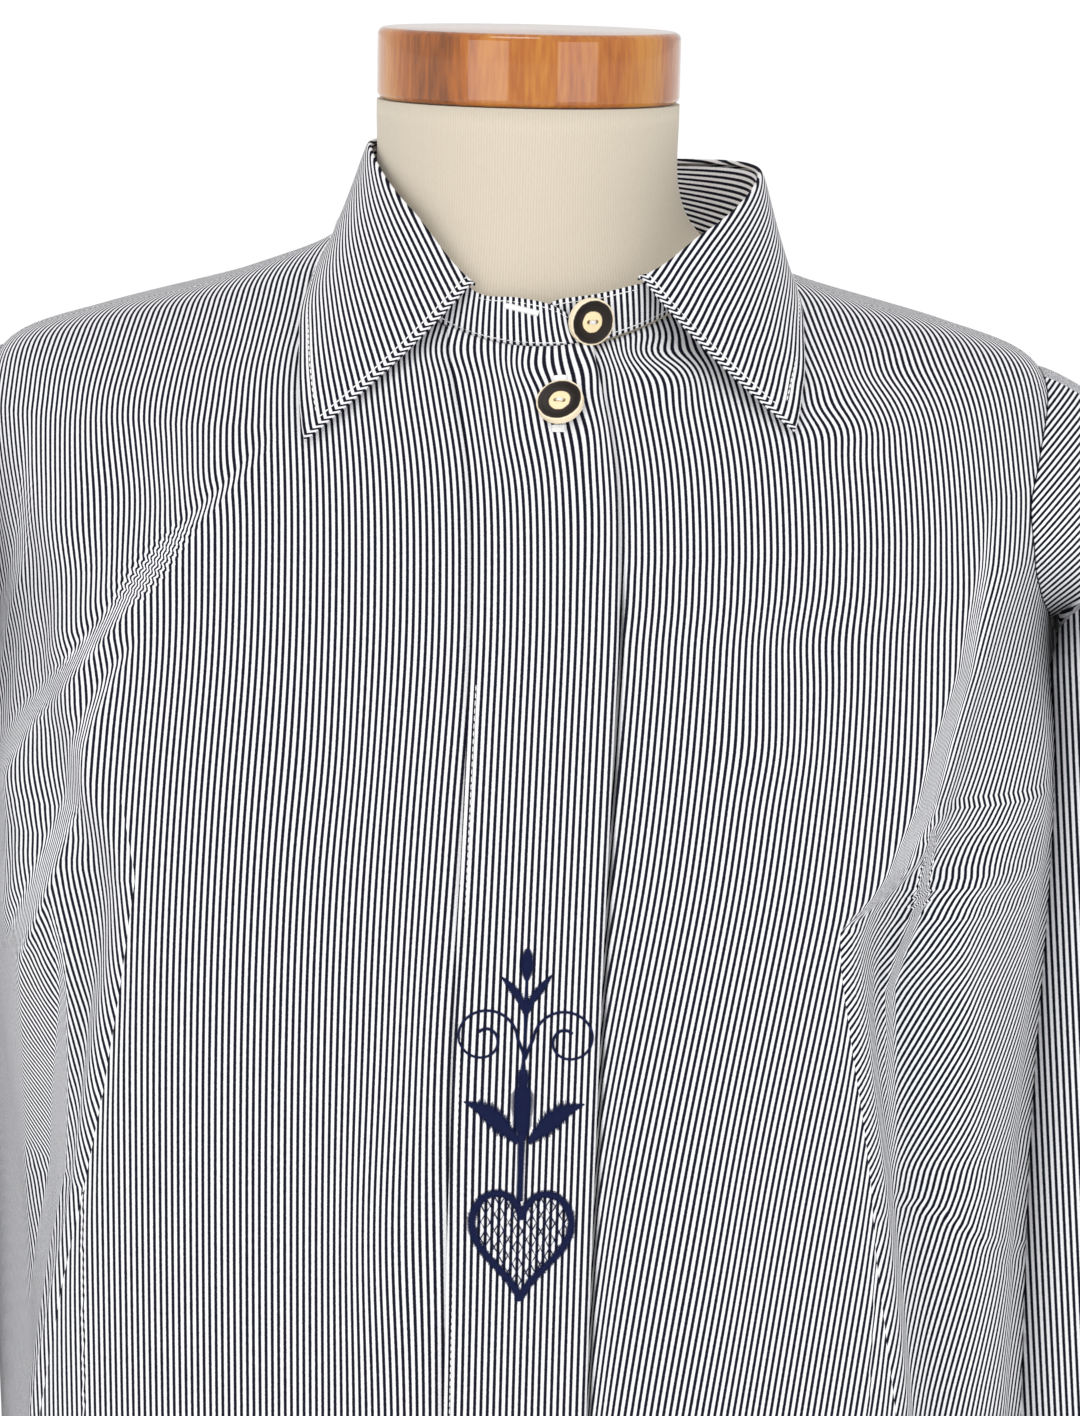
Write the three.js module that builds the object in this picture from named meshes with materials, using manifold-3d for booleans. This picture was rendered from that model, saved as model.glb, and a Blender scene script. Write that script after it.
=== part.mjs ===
// A striped shirt blouse worn by a limbless table-top dress form. Millimetres, +Z up, front faces -Y.
// The origin is the middle of the form's base board, on the surface it stands on. Names of pieces say right
// and left as the wearer does, so the right front lies at -X. Comments say +X and -X.
// The body of the blouse is one smooth figure of rings. Each panel is cut from it between named lines,
// given its folds, and made a thin closed wall.
import * as THREE from "three";
import { mergeVertices } from "three/addons/utils/BufferGeometryUtils.js";
import Module from "manifold-3d";

// ---- Driving sizes, in millimetres ----
const CLOTH = 1.2; // wall of a single panel
const DOUBLED = 1.5; // wall of the collar, stand and cuffs, which are two plies
const SEAM = 0.3; // gap between pieces that are sewn together
const BEND_SEAM = 0.9; // gap where two pieces meet at an angle
const LAYER = CLOTH + 0.8; // rise of a ply that lies on another
const HEM = 50; // height of the hem
const ARMPIT = 630; // stations of the armhole's two ends
const SHOULDER_TIP = 735;
const NECK = 872; // station of the neckline
const NECK_SLIP = 9; // the neckline sits this much further towards +X
const NECK_RADIUS = 60; // of the form
const NECK_TOP = 832;
const CAP_HEIGHT = 28;
const BOARD_THICKNESS = 18;
const BUTTON = 18; // diameter
const BUTTON_THICKNESS = 3.2;

// Rings of the body's surface. A station is the length up the side, equal to the height up to the armpit.
// width, front and back are half-sizes, and shift moves a ring towards +X. square is the exponent of its
// outline, and form_square that of the form's. front_z, side_z and back_z are its heights. in_side, in_front
// and in_back say how far inside the blouse the form lies there, on top of its bare clearance.
const RINGS = [
  {
    station: 18, width: 214, front: 138, back: 112, shift: 7, square: 3.0, form_square: 2.3,
    front_z: 18, side_z: 18, back_z: 18, in_side: 20, in_front: 16, in_back: 20,
  },
  {
    station: 50, width: 214, front: 138, back: 112, shift: 7, square: 3.0, form_square: 2.3,
    front_z: 50, side_z: 50, back_z: 50, in_side: 20, in_front: 16, in_back: 19,
  },
  {
    station: 190, width: 213, front: 141, back: 113, shift: 7, square: 3.1, form_square: 2.3,
    front_z: 190, side_z: 190, back_z: 190, in_side: 20, in_front: 22, in_back: 20,
  },
  {
    station: 330, width: 212, front: 145, back: 109, shift: 7, square: 3.2, form_square: 2.3,
    front_z: 330, side_z: 330, back_z: 330, in_side: 46, in_front: 40, in_back: 26,
  },
  {
    station: 430, width: 212, front: 148, back: 108, shift: 7, square: 3.3, form_square: 2.3,
    front_z: 430, side_z: 430, back_z: 430, in_side: 40, in_front: 26, in_back: 16,
  },
  {
    station: 520, width: 216, front: 148, back: 111, shift: 7, square: 3.4, form_square: 2.3,
    front_z: 520, side_z: 520, back_z: 520, in_side: 30, in_front: 10, in_back: 6,
  },
  {
    station: 580, width: 214, front: 142, back: 113, shift: 6, square: 3.3, form_square: 2.35,
    front_z: 585, side_z: 580, back_z: 590, in_side: 28, in_front: 8, in_back: 5,
  },
  {
    station: 630, width: 210, front: 133, back: 112, shift: 4, square: 3.0, form_square: 2.4,
    front_z: 626, side_z: 630, back_z: 645, in_side: 22, in_front: 6, in_back: 3,
  },
  {
    station: 685, width: 214, front: 121, back: 106, shift: 2, square: 2.8, form_square: 2.5,
    front_z: 664, side_z: 686, back_z: 695, in_side: 14, in_front: 3, in_back: 2,
  },
  {
    station: 735, width: 208, front: 109, back: 94, shift: 0, square: 2.5, form_square: 2.5,
    front_z: 694, side_z: 731, back_z: 738, in_side: 3, in_front: 1, in_back: 0.6,
  },
  {
    station: 770, width: 176, front: 101, back: 84, shift: 0, square: 2.35, form_square: 2.35,
    front_z: 709, side_z: 745, back_z: 757, in_side: 0, in_front: 0, in_back: 0,
  },
  {
    station: 820, width: 127, front: 91, back: 71, shift: 0, square: 2.2, form_square: 2.2,
    front_z: 726, side_z: 757, back_z: 775, in_side: 0, in_front: 0, in_back: 0,
  },
  {
    station: 878, width: 74, front: 78, back: 58, shift: 0, square: 2.0, form_square: 2.0,
    front_z: 745, side_z: 779, back_z: 791, in_side: 0, in_front: 0, in_back: 0,
  },
  {
    station: 905, width: 62, front: 62, back: 60, shift: 0, square: 2.0, form_square: 2.0,
    front_z: 778, side_z: 797, back_z: 803, in_side: 0, in_front: 0, in_back: 0,
  },
  {
    station: 940, width: 61.1, front: 61.1, back: 61.1, shift: 0, square: 2.0, form_square: 2.0,
    front_z: NECK_TOP, side_z: NECK_TOP, back_z: NECK_TOP, in_side: 0, in_front: 0, in_back: 0,
  },
];

// Largest folds: a ridge (height above 0) or trough along a line of [x, z] places on the front or back.
const FOLDS = [
  {
    on: "front", height: 4, reach: 14,
    line: [[202, 690], [190, 668], [177, 647], [165, 611], [151, 561], [126, 534]],
  },
  {
    on: "front", height: 5, reach: 13,
    line: [[-106, 697], [-134, 663], [-153, 643], [-177, 620], [-198, 572]],
  },
  { on: "front", height: 4, reach: 12, line: [[-163, 601], [-166, 581], [-178, 547], [-200, 520]] },
  { on: "back", height: 5, reach: 22, line: [[-95, 560], [-88, 380], [-98, 50]] },
  { on: "back", height: -7, reach: 24, line: [[-45, 520], [-38, 300], [-46, 50]] },
  { on: "back", height: 5, reach: 26, line: [[18, 560], [12, 300], [20, 50]] },
  { on: "back", height: -7, reach: 22, line: [[70, 540], [66, 320], [74, 50]] },
  { on: "back", height: 4, reach: 20, line: [[122, 560], [118, 340], [130, 50]] },
];

// The two long creases that fall from the bust: the cloth drops back past them. x is the crease's place on
// each side at a height z, and drop is how far the cloth lies behind it further out.
const CREASES = {
  left: [
    { z: 50, x: 172, drop: 16 },
    { z: 200, x: 165, drop: 18 },
    { z: 327, x: 155, drop: 22 },
    { z: 420, x: 142, drop: 24 },
    { z: 500, x: 130, drop: 25 },
    { z: 536, x: 128, drop: 21 },
    { z: 561, x: 150, drop: 14 },
    { z: 611, x: 165, drop: 8 },
    { z: 650, x: 178, drop: 3 },
    { z: 690, x: 195, drop: 0 },
  ],
  right: [
    { z: 50, x: -200, drop: 10 },
    { z: 200, x: -193, drop: 12 },
    { z: 309, x: -185, drop: 14 },
    { z: 417, x: -164, drop: 17 },
    { z: 476, x: -154, drop: 18 },
    { z: 511, x: -147, drop: 18 },
    { z: 545, x: -145, drop: 16 },
    { z: 580, x: -158, drop: 12 },
    { z: 620, x: -166, drop: 9 },
    { z: 660, x: -173, drop: 6 },
    { z: 710, x: -190, drop: 0 },
  ],
};
const CREASE_WIDTH = 22;
const CREASE_RETURN = 30; // past the crease, the drop dies away over this much before the side seam
const CREASE_KEPT = 0.45; // to this share of itself

// The front edge of the placket, which laps over towards +X: x at each station.
const FRONT_EDGE = [
  { station: 50, x: 33 },
  { station: 330, x: 33 },
  { station: 504, x: 35 },
  { station: 600, x: 37.5 },
  { station: 660, x: 38.5 },
  { station: 730, x: 37 },
  { station: 800, x: 32 },
  { station: 880, x: 25 },
];
const PLACKET_WIDTH = 55;
const UNDERLAP = 56; // how far the left front reaches under, from the front edge

// ---- The body's surface ----
const radians = THREE.MathUtils.degToRad;
const clamp = THREE.MathUtils.clamp;
const lerp = THREE.MathUtils.lerp;
const smoothstep = THREE.MathUtils.smoothstep;
const signedPower = (value, exponent) => Math.sign(value) * Math.abs(value) ** exponent;

function slope(table, row, key, column) {
  const before = table[Math.max(row - 1, 0)];
  const after = table[Math.min(row + 1, table.length - 1)];
  return (after[column] - before[column]) / (after[key] - before[key]);
}

// A smooth curve through one column of a table.
function along(table, key, place, column) {
  let row = 0;
  while (row < table.length - 2 && table[row + 1][key] < place) row += 1;
  const span = table[row + 1][key] - table[row][key];
  const t = (place - table[row][key]) / span;
  const start = slope(table, row, key, column) * span;
  const end = slope(table, row + 1, key, column) * span;
  const low = table[row][column];
  const rise = table[row + 1][column] - low;
  return low + start * t + (3 * rise - 2 * start - end) * t * t + (start + end - 2 * rise) * t ** 3;
}

// A point of the body at an angle in degrees, 0 in front, 90 at the +X side, -90 at the -X side, 180 behind.
// inside is 0 for the cloth and 1 for the form.
function bodyPoint(angle, station, inside = 0) {
  const ring = (column) => along(RINGS, "station", station, column);
  const sine = Math.sin(radians(angle));
  const cosine = Math.cos(radians(angle));
  const power = 2 / ring(inside ? "form_square" : "square");
  const ahead = cosine >= 0;
  const depth = ahead ? ring("front") - inside * ring("in_front") : ring("back") - inside * ring("in_back");
  const endZ = ahead ? ring("front_z") : ring("back_z");
  const width = ring("width") - inside * ring("in_side");
  return new THREE.Vector3(
    (1 - inside) * ring("shift") + width * signedPower(sine, power),
    -depth * signedPower(cosine, power),
    endZ + (ring("side_z") - endZ) * sine * sine,
  );
}

function normalOf(surface, u, v) {
  const step = 0.002;
  const across = surface(u + step, v).sub(surface(u - step, v));
  const up = surface(u, v + step).sub(surface(u, v - step));
  return across.cross(up).normalize();
}

function bodyNormal(angle, station, inside = 0) {
  return normalOf((a, s) => bodyPoint(angle + a, station + s, inside), 0, 0);
}

function distanceToLine(x, z, line) {
  let nearest = Infinity;
  for (let k = 0; k + 1 < line.length; k += 1) {
    const [x0, z0] = line[k];
    const [x1, z1] = line[k + 1];
    const length2 = (x1 - x0) ** 2 + (z1 - z0) ** 2;
    const t = clamp(((x - x0) * (x1 - x0) + (z - z0) * (z1 - z0)) / length2, 0, 1);
    nearest = Math.min(nearest, Math.hypot(x - lerp(x0, x1, t), z - lerp(z0, z1, t)));
  }
  return nearest;
}

function creaseDrop(point) {
  const crease = point.x > 0 ? CREASES.left : CREASES.right;
  const z = clamp(point.z, crease[0].z, crease.at(-1).z);
  const past = Math.abs(point.x) - Math.abs(along(crease, "z", z, "x"));
  const settled = CREASE_WIDTH + 4;
  const fade = 1 - smoothstep(past, settled, settled + CREASE_RETURN);
  const kept = CREASE_KEPT + (1 - CREASE_KEPT) * fade;
  return -along(crease, "z", z, "drop") * smoothstep(past, 0, CREASE_WIDTH) * kept;
}

// Small waves along the hem, beside the placket and below a height.
const HEM_WAVE = 3;
const HEM_WAVE_TOP = 260;
const HEM_WAVE_LENGTH = 132;
const PLACKET_MIDDLE = 7;
function hemWave(point) {
  const nearHem = 1 - smoothstep(point.z, HEM, HEM_WAVE_TOP);
  const besidePlacket = smoothstep(Math.abs(point.x - PLACKET_MIDDLE), 45, 90);
  return HEM_WAVE * nearHem * besidePlacket * Math.sin((2 * Math.PI * point.x) / HEM_WAVE_LENGTH);
}

// How far the folds lift the cloth at a point of the body.
function foldLift(point, front) {
  let lift = 0;
  for (const fold of FOLDS) {
    if ((fold.on === "front") !== front) continue;
    lift += fold.height * Math.exp(-((distanceToLine(point.x, point.z, fold.line) / fold.reach) ** 2));
  }
  if (front) lift += creaseDrop(point);
  return lift + hemWave(point);
}

// The cloth at an angle and station, raised by a number of millimetres.
function clothPoint(angle, station, raise = 0) {
  const point = bodyPoint(angle, station);
  const sides = smoothstep(Math.abs(Math.cos(radians(angle))), 0.02, 0.25);
  const lift = sides * foldLift(point, Math.cos(radians(angle)) > 0) + raise;
  return point.addScaledVector(bodyNormal(angle, station), lift);
}

function angleAtX(x, station) {
  const ring = (column) => along(RINGS, "station", station, column);
  const share = clamp((x - ring("shift")) / ring("width"), -1, 1);
  return THREE.MathUtils.radToDeg(Math.asin(signedPower(share, ring("square") / 2)));
}

// Half of the armhole's opening, in degrees, at a station.
const ARMHOLE_FRONT = 27;
const ARMHOLE_BACK = 24;
function armhole(station, opening) {
  const share = clamp((station - ARMPIT) / (SHOULDER_TIP - ARMPIT), 0, 1);
  return opening * Math.sin(Math.PI * share) ** 0.9;
}

// The panels' rows: half of them up to the armpit, half above it, where the body curves most.
const levelAt = (v) => (v < 0.5 ? lerp(HEM, ARMPIT, 2 * v) : lerp(ARMPIT, NECK, 2 * v - 1));

// The station of a row at an angle: only the last stretch follows the neckline's slip.
const SLIP_START = 820;
function rowStation(level, angle) {
  const share = clamp((level - SLIP_START) / (NECK - SLIP_START), 0, 1);
  return level - share * NECK_SLIP * Math.sin(radians(angle));
}

const neckStation = (angle) => NECK - NECK_SLIP * Math.sin(radians(angle));
const SEAM_ANGLE = (SEAM / 2 / 120) * (180 / Math.PI); // half a side seam's gap, at the side's radius of 120

// ---- Building walls ----
function closedMesh(positions, faces) {
  const geometry = new THREE.BufferGeometry();
  const numbers = positions.flatMap((place) => [place.x, place.y, place.z]);
  geometry.setAttribute("position", new THREE.Float32BufferAttribute(numbers, 3));
  let volume = 0;
  for (const [a, b, c] of faces) {
    volume += positions[a].dot(positions[b].clone().cross(positions[c]));
  }
  geometry.setIndex((volume > 0 ? faces : faces.map(([a, b, c]) => [a, c, b])).flat());
  geometry.computeVertexNormals();
  return geometry;
}

// A closed wall round a middle surface given as surface(u, v), with u and v from 0 to 1.
// round says that u comes back to its start, as in a sleeve.
function wall(surface, columns, rows, thickness, round = false) {
  const stride = round ? columns : columns + 1;
  const layerSize = stride * (rows + 1);
  const positions = [];
  for (const side of [0.5, -0.5]) {
    for (let j = 0; j <= rows; j += 1) {
      for (let i = 0; i < stride; i += 1) {
        const normal = normalOf(surface, i / columns, j / rows);
        positions.push(surface(i / columns, j / rows).addScaledVector(normal, side * thickness));
      }
    }
  }
  const at = (i, j, layer) => layer * layerSize + j * stride + (i % stride);
  const faces = [];
  const quad = (a, b, c, d) => faces.push([a, b, c], [a, c, d]);
  for (let j = 0; j < rows; j += 1) {
    for (let i = 0; i < columns; i += 1) {
      quad(at(i, j, 0), at(i + 1, j, 0), at(i + 1, j + 1, 0), at(i, j + 1, 0));
      quad(at(i, j, 1), at(i, j + 1, 1), at(i + 1, j + 1, 1), at(i + 1, j, 1));
    }
  }
  for (let i = 0; i < columns; i += 1) {
    quad(at(i, 0, 1), at(i + 1, 0, 1), at(i + 1, 0, 0), at(i, 0, 0));
    quad(at(i, rows, 0), at(i + 1, rows, 0), at(i + 1, rows, 1), at(i, rows, 1));
  }
  for (let j = 0; j < rows && !round; j += 1) {
    quad(at(0, j, 0), at(0, j + 1, 0), at(0, j + 1, 1), at(0, j, 1));
    quad(at(columns, j, 1), at(columns, j + 1, 1), at(columns, j + 1, 0), at(columns, j, 0));
  }
  return closedMesh(positions, faces);
}

// A solid through closed rings given as surface(u, v), closed at both ends by a fan.
function solid(surface, columns, rows) {
  const positions = [];
  for (let j = 0; j <= rows; j += 1) {
    for (let i = 0; i < columns; i += 1) positions.push(surface(i / columns, j / rows));
  }
  const faces = [];
  for (let j = 0; j < rows; j += 1) {
    for (let i = 0; i < columns; i += 1) {
      const next = (i + 1) % columns;
      const [a, b] = [j * columns + i, j * columns + next];
      faces.push([a, b, b + columns], [a, b + columns, a + columns]);
    }
  }
  for (const [row, turn] of [[0, 1], [rows, 0]]) {
    const middle = new THREE.Vector3();
    for (let i = 0; i < columns; i += 1) middle.add(positions[row * columns + i]);
    positions.push(middle.divideScalar(columns));
    const hub = positions.length - 1;
    for (let i = 0; i < columns; i += 1) {
      const [a, b] = [row * columns + i, row * columns + ((i + 1) % columns)];
      faces.push(turn ? [b, a, hub] : [a, b, hub]);
    }
  }
  return closedMesh(positions, faces);
}

// ---- The pieces ----
// How finely each wall is divided, across and along.
const COLUMNS = {
  front_left: 11, front_right: 12, placket: 3, back: 18, sleeve: 16, cuff: 22, stand: 40, leaf: 30,
};
const ROWS = { panel: 26, sleeve: 16, cuff: 2, stand: 2, leaf: 6 };
const blouse = new THREE.Group();
const stripedCotton = new THREE.MeshStandardMaterial({ color: 0xa5a5ad, roughness: 0.8, metalness: 0 });
const stripedDoubled = new THREE.MeshStandardMaterial({ color: 0x9a9aa8, roughness: 0.8, metalness: 0 });
const jersey = new THREE.MeshStandardMaterial({ color: 0xe5dccb, roughness: 0.9, metalness: 0 });
const pine = new THREE.MeshStandardMaterial({ color: 0xd58f4a, roughness: 0.35, metalness: 0 });
const hornLook = new THREE.MeshStandardMaterial({ color: 0x4a3b34, roughness: 0.3, metalness: 0 });

function add(name, geometry, material) {
  const mesh = new THREE.Mesh(geometry, material);
  mesh.name = name;
  blouse.add(mesh);
}

const frontEdge = (station) => along(FRONT_EDGE, "station", station, "x");

// A front, from its edge at the middle (u = 0) to the side seam, armhole and shoulder seam (u = 1).
function frontPanel(side, edgeX, raiseAt) {
  return (u, v) => {
    const level = levelAt(v);
    const startAngle = angleAtX(edgeX(level), level);
    const endAngle = side * (90 - SEAM_ANGLE - armhole(level, ARMHOLE_FRONT));
    const angle = lerp(startAngle, endAngle, u);
    const station = rowStation(level, angle);
    return clothPoint(angle, station, raiseAt(bodyPoint(angle, station).x, station));
  };
}

// The ply of the right front rises to lie on the left one near the middle.
const RISE_START = 60;
const RISE_END = 20;
function rightRaise(x, station) {
  const hiddenEdge = frontEdge(station) - UNDERLAP;
  return LAYER * smoothstep(x, hiddenEdge - RISE_START, hiddenEdge - RISE_END);
}

const leftFront = frontPanel(1, (station) => frontEdge(station) - UNDERLAP, () => 0);
const rightFront = frontPanel(-1, frontEdge, rightRaise);
add("front_left", wall(leftFront, COLUMNS.front_left, ROWS.panel, CLOTH), stripedCotton);
add("front_right", wall(rightFront, COLUMNS.front_right, ROWS.panel, CLOTH), stripedCotton);

function placketSurface(u, v) {
  const level = levelAt(v);
  const x = frontEdge(level) - PLACKET_WIDTH * (1 - u);
  const angle = angleAtX(x, level);
  return clothPoint(angle, rowStation(level, angle), 2 * LAYER);
}
add("placket", wall(placketSurface, COLUMNS.placket, ROWS.panel, CLOTH), stripedCotton);

function backSurface(u, v) {
  const level = levelAt(v);
  const half = 90 - SEAM_ANGLE - armhole(level, ARMHOLE_BACK);
  const angle = 180 - lerp(-half, half, u);
  return clothPoint(angle, rowStation(level, angle));
}
add("back", wall(backSurface, COLUMNS.back, ROWS.panel, CLOTH), stripedCotton);

// ---- Sleeves: rings from the armhole down to the cuff ----
// across and depth are half-sizes, lean is the ring's tilt (90 stands upright as the armhole does).
const SLEEVE = [
  { length: 40, x: 234, z: 668, across: 36, depth: 74, lean: 62 },
  { length: 88, x: 245, z: 636, across: 31, depth: 80, lean: 38 },
  { length: 132, x: 250, z: 597, across: 28, depth: 79, lean: 22 },
  { length: 185, x: 252, z: 545, across: 26, depth: 75, lean: 7 },
  { length: 250, x: 253, z: 480, across: 26, depth: 72, lean: 0 },
  { length: 350, x: 253, z: 380, across: 25, depth: 66, lean: 0 },
  { length: 450, x: 252, z: 280, across: 23, depth: 57, lean: 0 },
  { length: 530, x: 250, z: 200, across: 19, depth: 46, lean: 0 },
];
const SLEEVE_LENGTH = 530;
const ARMHOLE_GAP = 1.15; // from a front or back to the sleeve set into it
const SLEEVE_BACK = 8; // the sleeves hang this far behind the middle
const CUFF_HEIGHT = 62;
const NEAR_SLEEVE_IN = 9; // the -X sleeve hangs nearer the middle, as the blouse sits towards +X

// The armhole's edge, with turn 0 at the armpit, 0.25 in front, 0.5 at the shoulder tip and 0.75 behind.
function armholeEdge(side, turn, out) {
  const level = lerp(ARMPIT, SHOULDER_TIP, 0.5 - 0.5 * Math.cos(2 * Math.PI * turn));
  const ahead = Math.sin(2 * Math.PI * turn) >= 0;
  const opening = armhole(level, ahead ? ARMHOLE_FRONT : ARMHOLE_BACK);
  const angle = side * (ahead ? 90 - opening : 90 + opening);
  const edge = bodyPoint(angle, level);
  const middle = bodyPoint(side * 90, (ARMPIT + SHOULDER_TIP) / 2);
  const inward = middle.sub(edge);
  inward.x = 0;
  const away = new THREE.Vector3(side, 0, 0).addScaledVector(inward.normalize(), 0.8).normalize();
  return edge.addScaledVector(away, out);
}

function sleeveRing(side, turn, length) {
  const ring = (column) => along(SLEEVE, "length", length, column);
  const lean = radians(ring("lean"));
  const inner = -ring("across") * Math.cos(2 * Math.PI * turn);
  const x = ring("x") + inner * Math.cos(lean) - (side < 0 ? NEAR_SLEEVE_IN : 0);
  const y = SLEEVE_BACK - ring("depth") * signedPower(Math.sin(2 * Math.PI * turn), 0.9);
  return new THREE.Vector3(side * x, y, ring("z") + inner * Math.sin(lean));
}

function sleeveSurface(side) {
  return (u, v) => {
    const length = v * SLEEVE_LENGTH;
    const firstRing = SLEEVE[0].length;
    if (length >= firstRing) return sleeveRing(side, u, length);
    const start = armholeEdge(side, u, ARMHOLE_GAP);
    const leave = armholeEdge(side, u, ARMHOLE_GAP + firstRing).sub(start);
    const end = sleeveRing(side, u, firstRing);
    const arrive = sleeveRing(side, u, firstRing + 1).sub(end).multiplyScalar(firstRing);
    const t = length / firstRing;
    return start.clone()
      .multiplyScalar(2 * t ** 3 - 3 * t * t + 1)
      .addScaledVector(leave, 0.7 * (t ** 3 - 2 * t * t + t))
      .addScaledVector(end, 3 * t * t - 2 * t ** 3)
      .addScaledVector(arrive, t ** 3 - t * t);
  };
}

// A cuff closes with one end lapped over the other.
const CUFF_START = 108; // degrees round from the front, where the end that laps over lies
const CUFF_LAP = 24;
const CUFF_RISE = 2.2; // of the end that laps over
const CUFF_EASE = 1; // the cuff is this much larger than the sleeve's end, all round
function cuffSurface(side) {
  return (u, v) => {
    const degrees = CUFF_START + u * (360 + CUFF_LAP);
    const out = CUFF_EASE + CUFF_RISE * smoothstep(u, 0.75, 0.96);
    const end = SLEEVE.at(-1);
    const middle = end.x - (side < 0 ? NEAR_SLEEVE_IN : 0);
    const x = middle + (end.across + out) * Math.sin(radians(degrees));
    const y = SLEEVE_BACK - (end.depth + out) * Math.cos(radians(degrees));
    const top = end.z - BEND_SEAM;
    return new THREE.Vector3(side * x, y, top - CUFF_HEIGHT * (1 - v));
  };
}

for (const [side, word] of [[1, "left"], [-1, "right"]]) {
  add(`sleeve_${word}`, wall(sleeveSurface(side), COLUMNS.sleeve, ROWS.sleeve, CLOTH, true), stripedCotton);
  add(`cuff_${word}`, wall(cuffSurface(side), COLUMNS.cuff, ROWS.cuff, DOUBLED), stripedDoubled);
}

// ---- Collar stand and leaf ----
// The fold line of the collar: a ring round the neck, set towards +X, with its own height at each angle.
const COLLAR_SHIFT = 15;
const COLLAR_HALF = 77;
const FOLD_HEIGHT = [
  { angle: -390, z: 771 },
  { angle: -338, z: 771 },
  { angle: -315, z: 787 },
  { angle: -270, z: 807 },
  { angle: -180, z: 806 },
  { angle: -90, z: 815 },
  { angle: -50, z: 793 },
  { angle: -26, z: 766 },
  { angle: 30, z: 766 },
];
const LEAF_START = -26; // angles of the leaf's two front ends, at -X and at +X
const LEAF_END = -338;
const STAND_OVER = 12; // ends of the stand, the one that laps over and the one under it
const STAND_UNDER = -364;
const STAND_RISE = 3;
const STAND_GAP = 1.4; // above the neckline's edge
const STAND_CLEAR = 1.2; // out from the body's surface at its foot
const FOOT_SHIFT = 7; // degrees that the stand's foot is turned towards +X in front
const ROLL = 4; // how far the leaf rolls up over the stand

function foldPoint(angle, down = 0, out = 0) {
  const half = COLLAR_HALF + out;
  return new THREE.Vector3(
    COLLAR_SHIFT + half * Math.sin(radians(angle)),
    -half * Math.cos(radians(angle)),
    along(FOLD_HEIGHT, "angle", angle, "z") - down,
  );
}

// How tall the stand is at each angle, as a share: its ends are rounded.
const STAND_SHARE = [
  { angle: -370, share: 0.1 },
  { angle: -364, share: 0.62 },
  { angle: -361, share: 0.8 },
  { angle: -350, share: 0.9 },
  { angle: -338, share: 1 },
  { angle: -26, share: 1 },
  { angle: -14, share: 0.92 },
  { angle: -3, share: 0.84 },
  { angle: 6, share: 0.5 },
  { angle: 12, share: 0.2 },
];

function standSurface(u, v) {
  const angle = lerp(STAND_OVER, STAND_UNDER, u);
  const near = 1 - smoothstep(u, 0, 0.12);
  const turned = ((angle + 540) % 360) - 180;
  const around = turned + FOOT_SHIFT * Math.cos(radians(turned));
  const neckline = bodyPoint(around, neckStation(around));
  const upward = bodyPoint(around, neckStation(around) + 1).sub(neckline).normalize();
  const foot = neckline.addScaledVector(upward, STAND_GAP)
    .addScaledVector(bodyNormal(around, NECK), STAND_CLEAR + LAYER * near);
  const top = foldPoint(angle, ROLL, STAND_RISE * near);
  return foot.lerp(top, v * along(STAND_SHARE, "angle", angle, "share"));
}
add("collar_stand", wall(standSurface, COLUMNS.stand, ROWS.stand, DOUBLED), stripedDoubled);

// The leaf's free edge: where it lies on the body, by the body's angle and station, for each fold angle.
const LEAF_EDGE = [
  { angle: -338, around: 30, station: 757, clear: 4 },
  { angle: -325, around: 40.5, station: 788, clear: 4 },
  { angle: -305, around: 52, station: 811, clear: 4 },
  { angle: -285, around: 63, station: 824, clear: 3 },
  { angle: -270, around: 84, station: 834, clear: 3 },
  { angle: -225, around: 136, station: 810, clear: 3 },
  { angle: -180, around: 177, station: 769, clear: 3 },
  { angle: -135, around: 217, station: 822, clear: 3 },
  { angle: -90, around: 275, station: 854, clear: 3 },
  { angle: -75, around: 301, station: 843, clear: 3 },
  { angle: -60, around: 314, station: 827, clear: 4 },
  { angle: -40, around: 325, station: 804, clear: 4 },
  { angle: -26, around: 340, station: 750, clear: 4 },
];
const LEAF_BULGE = 13;

function leafSurface(u, v) {
  const angle = lerp(LEAF_START, LEAF_END, u);
  const around = along(LEAF_EDGE, "angle", angle, "around");
  const station = along(LEAF_EDGE, "angle", angle, "station");
  const clear = along(LEAF_EDGE, "angle", angle, "clear");
  const start = foldPoint(angle, ROLL - BEND_SEAM - DOUBLED / 2);
  const crest = foldPoint(angle, -ROLL, 1);
  const outer = foldPoint(angle, 12, LEAF_BULGE);
  const edge = bodyPoint(around, station).addScaledVector(bodyNormal(around, station), clear);
  const t = v;
  return start.multiplyScalar((1 - t) ** 3)
    .addScaledVector(crest, 3 * t * (1 - t) ** 2)
    .addScaledVector(outer, 3 * t * t * (1 - t))
    .addScaledVector(edge, t ** 3);
}
add("collar", wall(leafSurface, COLUMNS.leaf, ROWS.leaf, DOUBLED), stripedDoubled);

// ---- Buttons ----
const wasm = await Module();
wasm.setup();

function toManifold(geometry) {
  const bare = geometry.clone();
  bare.deleteAttribute("normal");
  bare.deleteAttribute("uv");
  const merged = mergeVertices(bare, 1e-4);
  return new wasm.Manifold(new wasm.Mesh({
    numProp: 3,
    vertProperties: new Float32Array(merged.attributes.position.array),
    triVerts: new Uint32Array(merged.index.array),
  }));
}

function toGeometry(manifold) {
  const mesh = manifold.getMesh();
  const geometry = new THREE.BufferGeometry();
  geometry.setAttribute("position", new THREE.BufferAttribute(mesh.vertProperties, 3));
  geometry.setIndex(new THREE.BufferAttribute(mesh.triVerts, 1));
  geometry.computeVertexNormals();
  return geometry;
}

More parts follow.
